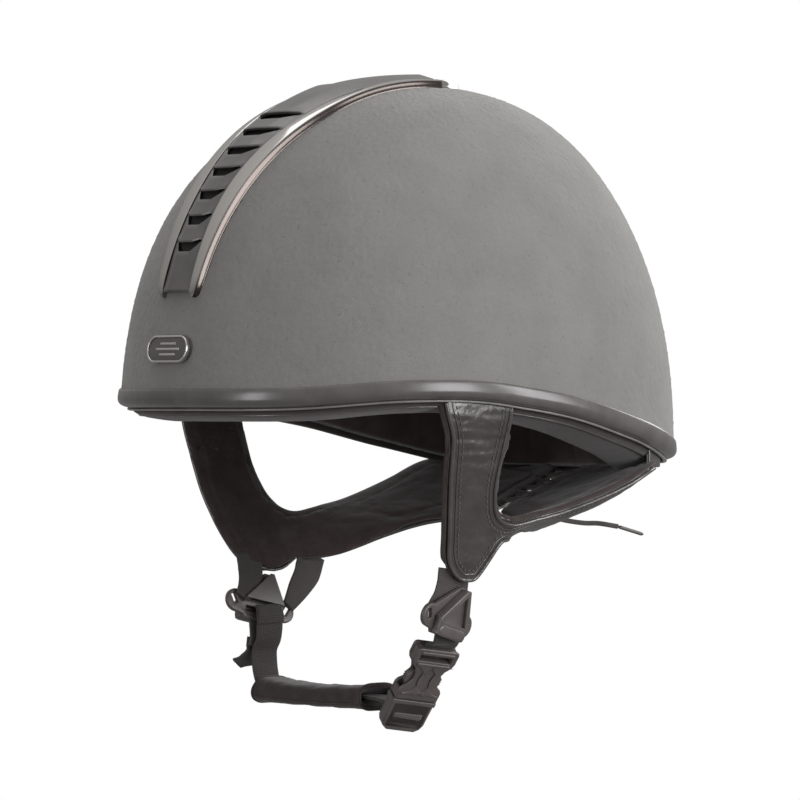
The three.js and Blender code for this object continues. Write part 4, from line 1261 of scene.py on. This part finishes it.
GUIDE_WEBS = {
    # y, height above the divider, direction across, width
    "left": {"front": [(-30, 19, (0, 1, 0), 16), (-31, 12, (0, 1, 0.1), 14), (-34.2, 5.5, (0, 1, 0.2), 11.4),
                       (-39.4, 0.4, (0, 1, 0.35), 8)],
             "rear": [(-22, 18, (0, 1, 0), 9), (-22, 12.4, (0, 1, 0), 9), (-20.5, 3, (0, 1, -0.1), 8),
                      (-18.8, -4.6, (0, 1, -0.2), 7)]},
    "right": {"front": [(-36, 21, (0, 1, 0), 15), (-36.6, 12, (0, 1, 0.1), 14), (-39.4, 5, (0, 1, 0.2), 11),
                        (-43.4, 0.4, (0, 1, 0.35), 7.5)],
              "rear": [(2, 20, (0, 1, -0.4), 17), (-2.5, 11, (0, 1, -0.5), 16),
                       (-11.2, 1.2, (0, 1, -0.6), 11.5), (-17, -5.2, (0, 1, -0.6), 7)]},
}
WEB_BEHIND = 2            # how far inside the divider the webs run


def guide_webs(word):
    """The two webs of one side from under the leather's tip to the divider's lobes."""
    side = side_of(word)
    turn = math.tan(math.radians(GUIDE["yaw"][word]))
    for end, stations in GUIDE_WEBS[word].items():
        placed = []
        for y, up, across, width in stations:
            x = GUIDE["x"] - WEB_BEHIND + up * GUIDE["lean"] - (y - GUIDE["y"]) * turn
            placed.append(((side * x, y, GUIDE["z"][word] + up), across, width))
        obj = web("web_%s_weave_%s" % (end, word), placed, WEBBING, 1.2)
        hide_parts("web_%s_%s" % (end, word))
        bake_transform(obj)


def guide(word):
    """Triangular divider: a raised, dished shield in front of a plate with a lobe at each end."""
    side = side_of(word)
    top, low, half = GUIDE["top"], GUIDE["bottom"], GUIDE["half_width"]
    lobe, lobe_y, apex = GUIDE["lobe"], GUIDE["lobe_y"], side * GUIDE["apex"]
    outline = ([(apex - 1.8, top)] + arc(-half, lobe_y, lobe, 81, 270, 14) + [(-10.4, low + 1.6), (-9.4, low),
               (9.4, low), (10.4, low + 1.6)] + arc(half, lobe_y, lobe, -90, 99, 14) + [(apex + 1.8, top)])

    def slit(sign):
        turn = math.radians(28 * -sign)
        centre = (sign * (half + 1.0), lobe_y + 0.6)
        return [(centre[0] + x * math.cos(turn) - y * math.sin(turn),
                 centre[1] + x * math.sin(turn) + y * math.cos(turn))
                for x, y in [(-1.1, -2.4), (1.1, -2.4), (1.1, 2.4), (-1.1, 2.4)]][::-1]

    bar = [(-8.2, -8.6), (-8.2, -6.2), (8.2, -6.2), (8.2, -8.6)]
    plate = place(rounded_plate("plate", [outline, slit(-1), slit(1), bar], 2.4, 0.7, ACETAL), shift(z=1.2))
    wall = [(apex - 1.2, top - 0.4), (-11.4, -3.6), (-10.8, -6.2), (-10.4, low + 0.6), (-9, low), (9, low),
            (10.4, low + 0.6), (10.8, -6.2), (11.4, -3.6), (apex + 1.2, top - 0.4)]
    dish = [(apex, top - 3.6), (8.6, -5.4), (-8.6, -5.4)]
    frame_part = place(rounded_plate("frame", [wall, dish], 4.6, 0.8, ACETAL), shift(z=4.6))
    crease_at = (apex * 0.4, -1.2)
    floor_points = [(*dish[0], 4.9), (*dish[1], 4.9), (*dish[2], 4.9), (*crease_at, 3.3), (*crease_at, 2.4)]
    floor_faces = [(0, 3, 1), (1, 3, 2), (2, 3, 0), (0, 1, 4), (1, 2, 4), (2, 0, 4)]
    floor = mesh_from("dish", floor_points, floor_faces, ACETAL, 20)
    turn_outward(floor)
    roll = place(rounded_plate("lip", [stadium(21.4, 5.6)], 3.4, 1.5, ACETAL), shift(0, low + 2.7, 5.7))
    inner = [(apex - 1, top - 0.8), (-11.6, -3.4), (11.6, -3.4), (apex + 1, top - 0.8)]
    inner_face = place(rounded_plate("inner", [inner], 1.0, 0.4, ACETAL), shift(z=-3.6))
    obj = joined("strap_guide_shield_" + word, [plate, frame_part, floor, roll, inner_face], 35)
    yaw = math.radians(GUIDE["yaw"][word])
    out = Vector((side * math.cos(yaw), math.sin(yaw), -GUIDE["lean"])).normalized()
    across = Vector((-math.sin(yaw), side * math.cos(yaw), 0))
    across = (across - out * across.dot(out)).normalized()
    up = out.cross(across)
    pose = Matrix((across, up, out)).transposed().to_4x4()
    tilt = Matrix.Rotation(-side * math.radians(GUIDE["tilt"]), 4, "Z")
    place(obj, shift(side * GUIDE["x"], GUIDE["y"], GUIDE["z"][word]) @ pose @ tilt)
    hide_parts("strap_guide_" + word)
    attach(obj, "chin_strap")


def chin_webs():
    """The chin strap's webs: down from each divider, along the chin, and the loose tail."""
    y, wide = CHIN_Y, WEB["width"]
    left = web("chin_web_weave_left", [
        ((69.2, y - 1, -104.5), (0, 1, 0), wide), ((68.0, y - 1, -108.5), (0, 1, 0), wide),
        ((65.8, y - 0.6, -109.8), (0, 1, -0.1), wide), ((62.4, y, -111), (0.1, 1, -0.18), wide),
        ((58.8, y, -114.2), (0.12, 1, -0.2), wide),
    ], WEBBING)
    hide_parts("chin_web_left")
    right = web("chin_web_weave_right", [
        ((-66.6, y - 2.6, -95.6), (0, 1, -0.24), wide), ((-65.4, y - 2.4, -99.5), (0, 1, -0.22), wide),
        ((-65.6, y - 1.8, -105), (0, 1, -0.1), wide),
        ((-67.6, y - 1, -112.5), (0, 1, 0), wide), ((-70.8, y - 1, -118), (0, 1, 0), wide),
        ((-71.4, y, -127), (0, 1, 0), wide), ((-68.6, y, -133.8), (0, 1, 0), wide),
        ((-62, y, -136.3), (0, 1, 0), wide), ((-20, y, -136.5), (0, 1, 0), wide),
        ((14, y, -136.5), (0, 1, 0), wide), ((22, y, -137), (0, 1, 0), wide),
        ((28, y, -138.3), (0.04, 1, -0.06), wide), ((30, y, -139.2), (0.05, 1, -0.08), wide),
    ], WEBBING)
    wrap = web("chin_web_wrap", [
        ((-64.9, y - 2.6, -96), (0, 1, -0.24), wide), ((-63.7, y - 2.4, -100), (0, 1, -0.22), wide),
        ((-64.0, y - 2.2, -104.4), (0, 1, -0.2), wide),
    ], WEBBING)
    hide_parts("chin_web_right")
    # the loop's lighter web colour is a painted highlight
    doubled = web("chin_web_loop", [
        ((-70.0, y - 2.6, -99.6), (0, 1, -0.2), wide), ((-71.2, y - 2.2, -104), (0, 1, -0.1), wide),
        ((-71.6, y - 1.6, -111), (0, 1, 0), wide), ((-72.6, y - 2, -116), (0, 1, 0), wide),
    ], SHEEN_PAINTED_WEB)
    tail = web("chin_web_weave_tail", [
        ((-73.2, y - 2, -112), (0, 1, 0), wide), ((-74, y - 3, -118.6), (0, 1, 0), wide),
        ((-78, y - 6, -122.5), (0, 1, -0.2), wide - 3), ((-82.4, y - 9, -124.3), (0, 1, -0.3), wide - 6),
    ], WEBBING)
    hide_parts("chin_web_tail")
    for obj in (left, right, doubled, wrap, tail):
        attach(obj, "chin_strap")


def chin_pad():
    """Cloth sleeve over the chin web: flattened tube with a wide open mouth and a hem at each end."""
    left, right, width, height = SLEEVE["left"], SLEEVE["right"], SLEEVE["width"], SLEEVE["height"]
    sides = 44

    def ring(x, wide, high, lift, lean):
        loop = []
        for k in range(sides):
            a = 2 * math.pi * k / sides
            c, s = math.cos(a), math.sin(a)
            y = wide / 2 * math.copysign(abs(c) ** 0.6, c)
            z = high / 2 * math.copysign(abs(s) ** 0.85, s)
            rough = 0.45 * wobble((x, y, z), 7) + 0.22 * wobble((x, y * 0.6, z), 2.6, 4)
            loop.append((x + lean * z, CHIN_Y + y * (1 + rough * 0.03), SLEEVE["z"] + lift + z + rough))
        return loop

    stations = np.linspace(0, 1, 60)
    outside = []
    for t in stations:
        x = left + (right - left) * t
        sag = -math.sin(math.pi * t)
        swell = 1 - 0.14 * math.sin(math.pi * t)
        hem = 0.5 if t < 0.04 or t > 0.96 else 0
        outside.append(ring(x, width * 0.97 + hem, height * swell + hem, sag, 0.25 * (1 - t)))
    inside = []
    for t in stations[::-1]:
        x = left + (right - left) * t
        sag = -math.sin(math.pi * t)
        mouth = max(0, 1 - t / 0.14, (t - 0.9) / 0.1)
        wide, high = WEB["width"] + 3.2 + 1.6 * mouth, 3.4 + (height - 6) * mouth
        inside.append(ring(x, wide, high, sag, 0.25 * (1 - t)))
    sleeve = loops_mesh("chin_pad_sleeve", outside + inside, LINING, closed=True)
    hems = []
    for t in (0.0, 1.0):
        x = left + (right - left) * t
        loop = ring(x, width * 0.98, height * 0.99, 0, 0.25 * (1 - t))
        hems.append(tube("hem", loop + loop[:2], 0.8, BACKING, sides=8))
    lower = [(left + (right - left) * t, CHIN_Y - width / 2 * 0.93, SLEEVE["z"] - 3.4 - math.sin(math.pi * t))
             for t in stations]
    hems.append(tube("hem", lower, 0.55, BACKING, sides=8))
    obj = joined("chin_pad_sleeve", [sleeve] + hems)
    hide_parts("chin_pad")
    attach(obj, "chin_pad")


# ------------------------------------------------------------------ buckle
def buckle_pose():
    """From the buckle's own millimetres to its place: y runs from the housing along to the plug."""
    down, roll = math.radians(BUCKLE["down"]), math.radians(BUCKLE["roll"])
    along = Vector((-math.cos(down), 0, -math.sin(down)))
    across = Matrix.Rotation(roll, 3, along) @ Vector((0, 1, 0))
    through = across.cross(along)
    pose = Matrix((across, along, through)).transposed().to_4x4()
    return shift(*BUCKLE["seam"]) @ pose


def both_sides(half):
    """An outline and its mirror image in x, as one."""
    return half + [(-x, y) for x, y in half[::-1]]


def buckle_housing(pose):
    """Socket of the side-release buckle: two faces with cut-away flanks, where the prongs show."""
    half, top, thick = BUCKLE["width"] / 2, -BUCKLE["housing"], BUCKLE["thickness"]
    flank = [(half - 1.6, top), (half - 0.4, top + 0.6), (half, top + 2), (half, top + 7),
             (half - 1.0, top + 9.6), (half - 3.2, top + 12), (half - 4.4, top + 15),
             (half - 4.4, top + 18.4), (half - 3.0, top + 21.2), (half - 0.8, top + 23),
             (half, top + 24.6), (half, -0.4), (half - 0.3, -0.1)]
    outline = both_sides(flank)
    slot = [(-8.3, top + 3.8), (-8.3, top + 7.0), (8.3, top + 7.0), (8.3, top + 3.8)]
    parts = []
    for z in (-(thick - 1.9) / 2, (thick - 1.9) / 2):
        face = rounded_plate("face", [outline, slot], 1.9, 0.75, ACETAL)
        parts.append(place(face, shift(z=z)))
    neck = rounded_plate("neck", [both_sides([(half - 1.8, top + 0.4), (half - 0.6, top + 1.4),
                                              (half - 0.6, top + 8.4), (half - 2.6, top + 10.4)]), slot],
                         thick - 1.6, 0.4, ACETAL)
    parts.append(neck)
    for sign in (-1, 1):
        wall = rounded_plate("wall", [[(sign * (half - 1.5), -5.2), (sign * (half - 0.25), -5.2),
                                       (sign * (half - 0.25), -0.4), (sign * (half - 1.5), -0.4)]],
                             thick - 1.8, 0.3, ACETAL)
        parts.append(wall)
        rail = rounded_plate("rail", [stadium(1.3, 17)], 1.1, 0.5, ACETAL)
        parts.append(place(rail, shift(sign * 3.1, top + 17.5, -thick / 2 - 0.1)))
    for y in (top + 2.0, top + 8.6):
        ridge = rounded_plate("ridge", [stadium(17.5, 1.7)], 1.5, 0.6, ACETAL)
        parts.append(place(ridge, shift(0, y, -thick / 2 - 0.1)))
    obj = joined("buckle_socket", parts, 35)
    place(obj, pose)
    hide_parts("buckle_housing")
    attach(obj, "chin_strap")


def buckle_plug(pose):
    """Insert of the buckle: a frame with a cross bar that the web loops round, and the tongue."""
    half, long, thick = BUCKLE["width"] / 2, BUCKLE["plug"], BUCKLE["thickness"] - 0.6
    outline = both_sides([(half, 0.3), (half, 2.4), (half - 0.15, long - 4.6), (half - 1.4, long - 1.8),
                          (half - 3.8, long)])
    window = [(-8.2, 3.9), (-8.2, 15.3), (8.2, 15.3), (8.2, 3.9)]
    frame_part = rounded_plate("frame", [outline, window], thick, 1.1, ACETAL)
    bar = rounded_plate("bar", [stadium(18.4, 2.6)], 3.0, 1.1, ACETAL)
    place(bar, shift(0, 9.4, 0))
    tongue = rounded_plate("tongue", [stadium(17.4, 5.2)], 3.2, 0.6, ACETAL)
    place(tongue, shift(0, -8, 0) @ Matrix.Rotation(math.pi / 2, 4, "Z"))
    ledge = both_sides([(half + 0.3, 0.5), (half + 0.3, 2.9)])
    collar = rounded_plate("collar", [ledge], thick + 0.7, 0.5, ACETAL)
    obj = joined("buckle_insert", [frame_part, bar, tongue, collar], 35)
    place(obj, pose)
    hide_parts("buckle_plug")
    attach(obj, "buckle_plug")


PRONGS = ((-1, "buckle_prong_front", "prong_front"), (1, "buckle_prong_rear", "prong_rear"))


def buckle_prongs(pose):
    """The plug's two springy arms, each on its own body, with ribs where they are pressed."""
    half = BUCKLE["width"] / 2 - 1.95
    shape = [(half - 3.4, -0.3), (half - 1.2, -0.3), (half - 1.6, -6), (half + 0.1, -9), (half + 0.1, -12.5),
             (half - 1.4, -15), (half - 2.6, -15.6), (half - 3.2, -14.5), (half - 3.2, -8)]
    for sign, node, body in PRONGS:
        prong = rounded_plate(node + "_arm", [[(sign * x, y) for x, y in shape]], 4, 0.7, ACETAL)
        pad_parts = [prong]
        for k in range(3):
            rib = rounded_plate("rib", [stadium(3.6, 0.6)], 0.7, 0.25, ACETAL)
            place(rib, shift(sign * half, -9.6 - 1.3 * k, 0) @ Matrix.Rotation(math.pi / 2, 4, "Y"))
            pad_parts.append(rib)
        obj = joined(node + "_arm", pad_parts)
        place(obj, pose)
        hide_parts(node)
        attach(obj, body)


def buckle_web(pose):
    """The web that loops round the plug's bar."""
    wide = WEB["width"]
    path = [(4.4, 4.6), (5.4, 2.0), (6.3, -0.6), (7.9, -2.7), (9.5, -3.3), (11, -2.7), (12.7, -0.5),
            (13.3, 2.2), (13.4, 4.6)]
    # the looped web's lighter colour is a painted highlight
    obj = web("buckle_web_weave", [((0, y, z), (1, 0, 0), wide) for y, z in path], SHEEN_PAINTED_WEB, per_span=5)
    place(obj, pose)
    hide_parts("buckle_web_loop")
    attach(obj, "buckle_plug")


# ------------------------------------------------------------------ CAD nodes that stay in view
def dress_frame():
    """Gives their materials to the CAD solids that no Blender piece replaces."""
    looks = {"outer_shell": SHELL_MAT, "vent_mesh": MESH_MAT, "front_anchor_left": SHELL_MAT,
             "front_anchor_right": SHELL_MAT}
    for node, material in looks.items():
        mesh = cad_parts[node].data
        mesh.materials.clear()
        mesh.materials.append(material)


# ------------------------------------------------------------------ camera, light and world
VIEW = {
    "azimuth": 51.5,        # degrees round from straight ahead
    "distance": 2.5,        # metres
    "lens": 237.4,
    "across": -1.57,        # where the camera aims, to the right of the origin and above it
    "height": 2.5,
}
LIGHTS = {
    # metres to the right of the view, back towards the camera and up; width, height; watts
    "key": ((1.1, 1.2, 0.15), (0.6, 1.1), 19),
    "side": ((1.55, 0.35, 0.4), (0.5, 1.0), 13),
    "fill": ((-1.15, 1.0, 0.05), (0.3, 0.9), 6),
    "top": ((0, -0.3, 1.5), (1.2, 1.2), 9),
    "rim": ((0.9, -1.3, 0.7), (0.9, 0.9), 10),
}


def camera():
    """The photographer's place, from the left front; returns the view's right and backward directions."""
    azimuth = math.radians(VIEW["azimuth"])
    back = Vector((math.sin(azimuth), -math.cos(azimuth), 0))
    right = Vector((math.cos(azimuth), math.sin(azimuth), 0))
    target = right * (VIEW["across"] * MM) + Vector((0, 0, VIEW["height"] * MM))
    data = bpy.data.cameras.new("camera")
    data.sensor_width = 36
    data.lens = VIEW["lens"]
    data.clip_end = 20
    obj = add_object("camera", data)
    obj.location = target + back * VIEW["distance"]
    obj.rotation_euler = back.to_track_quat("Z", "Y").to_euler()
    bpy.context.scene.camera = obj
    return right, back


def area_light(name, at, size, watts):
    """A soft box at a place in metres, aimed at the origin and unseen by the camera."""
    data = bpy.data.lights.new(name, "AREA")
    data.shape = "RECTANGLE"
    data.size, data.size_y = size
    data.energy = watts
    obj = add_object(name, data)
    obj.location = at
    obj.rotation_euler = at.to_track_quat("Z", "Y").to_euler()
    obj.visible_camera = False


def studio(right, back):
    """White surroundings that the camera sees, a darker gradient for everything else, soft boxes."""
    world = bpy.data.worlds.new("studio")
    bpy.context.scene.world = world
    world.use_nodes = True
    tree = world.node_tree
    tree.nodes.clear()
    path = tree.nodes.new("ShaderNodeLightPath")
    seen = tree.nodes.new("ShaderNodeBackground")
    seen.inputs["Color"].default_value = (1, 1, 1, 1)
    around = tree.nodes.new("ShaderNodeBackground")
    direction = tree.nodes.new("ShaderNodeTexCoord")
    split = tree.nodes.new("ShaderNodeSeparateXYZ")
    height = tree.nodes.new("ShaderNodeMapRange")
    height.inputs["From Min"].default_value = -1
    ramp = tree.nodes.new("ShaderNodeValToRGB")
    ramp.color_ramp.elements[0].color = (0.34, 0.33, 0.33, 1)
    ramp.color_ramp.elements[1].color = (0.95, 0.94, 0.93, 1)
    horizon = ramp.color_ramp.elements.new(0.5)
    horizon.color = (0.24, 0.235, 0.23, 1)
    tree.links.new(direction.outputs["Generated"], split.inputs[0])
    tree.links.new(split.outputs["Z"], height.inputs["Value"])
    tree.links.new(height.outputs["Result"], ramp.inputs["Fac"])
    tree.links.new(ramp.outputs["Color"], around.inputs["Color"])
    mix = tree.nodes.new("ShaderNodeMixShader")
    out = tree.nodes.new("ShaderNodeOutputWorld")
    tree.links.new(path.outputs["Is Camera Ray"], mix.inputs[0])
    tree.links.new(around.outputs[0], mix.inputs[1])
    tree.links.new(seen.outputs[0], mix.inputs[2])
    tree.links.new(mix.outputs[0], out.inputs["Surface"])
    for name, ((across, behind, high), size, watts) in LIGHTS.items():
        area_light(name, right * across + back * behind + Vector((0, 0, high)), size, watts)
    bpy.context.scene.view_settings.view_transform = "Standard"


def main():
    right, back = camera()
    lace_end()
    shell_cover()
    edge_trim()
    liner_binding()
    liner()
    crown_padding()
    headband()
    vent_bezel()
    vent_plates()
    badge()
    for word in ("left", "right"):
        leather_side(word)
        rear_tab(word)
        guide_webs(word)
        guide(word)
    nape_lacing()
    chin_webs()
    chin_pad()
    pose = buckle_pose()
    buckle_housing(pose)
    buckle_plug(pose)
    buckle_prongs(pose)
    buckle_web(pose)
    dress_frame()
    studio(right, back)


main()
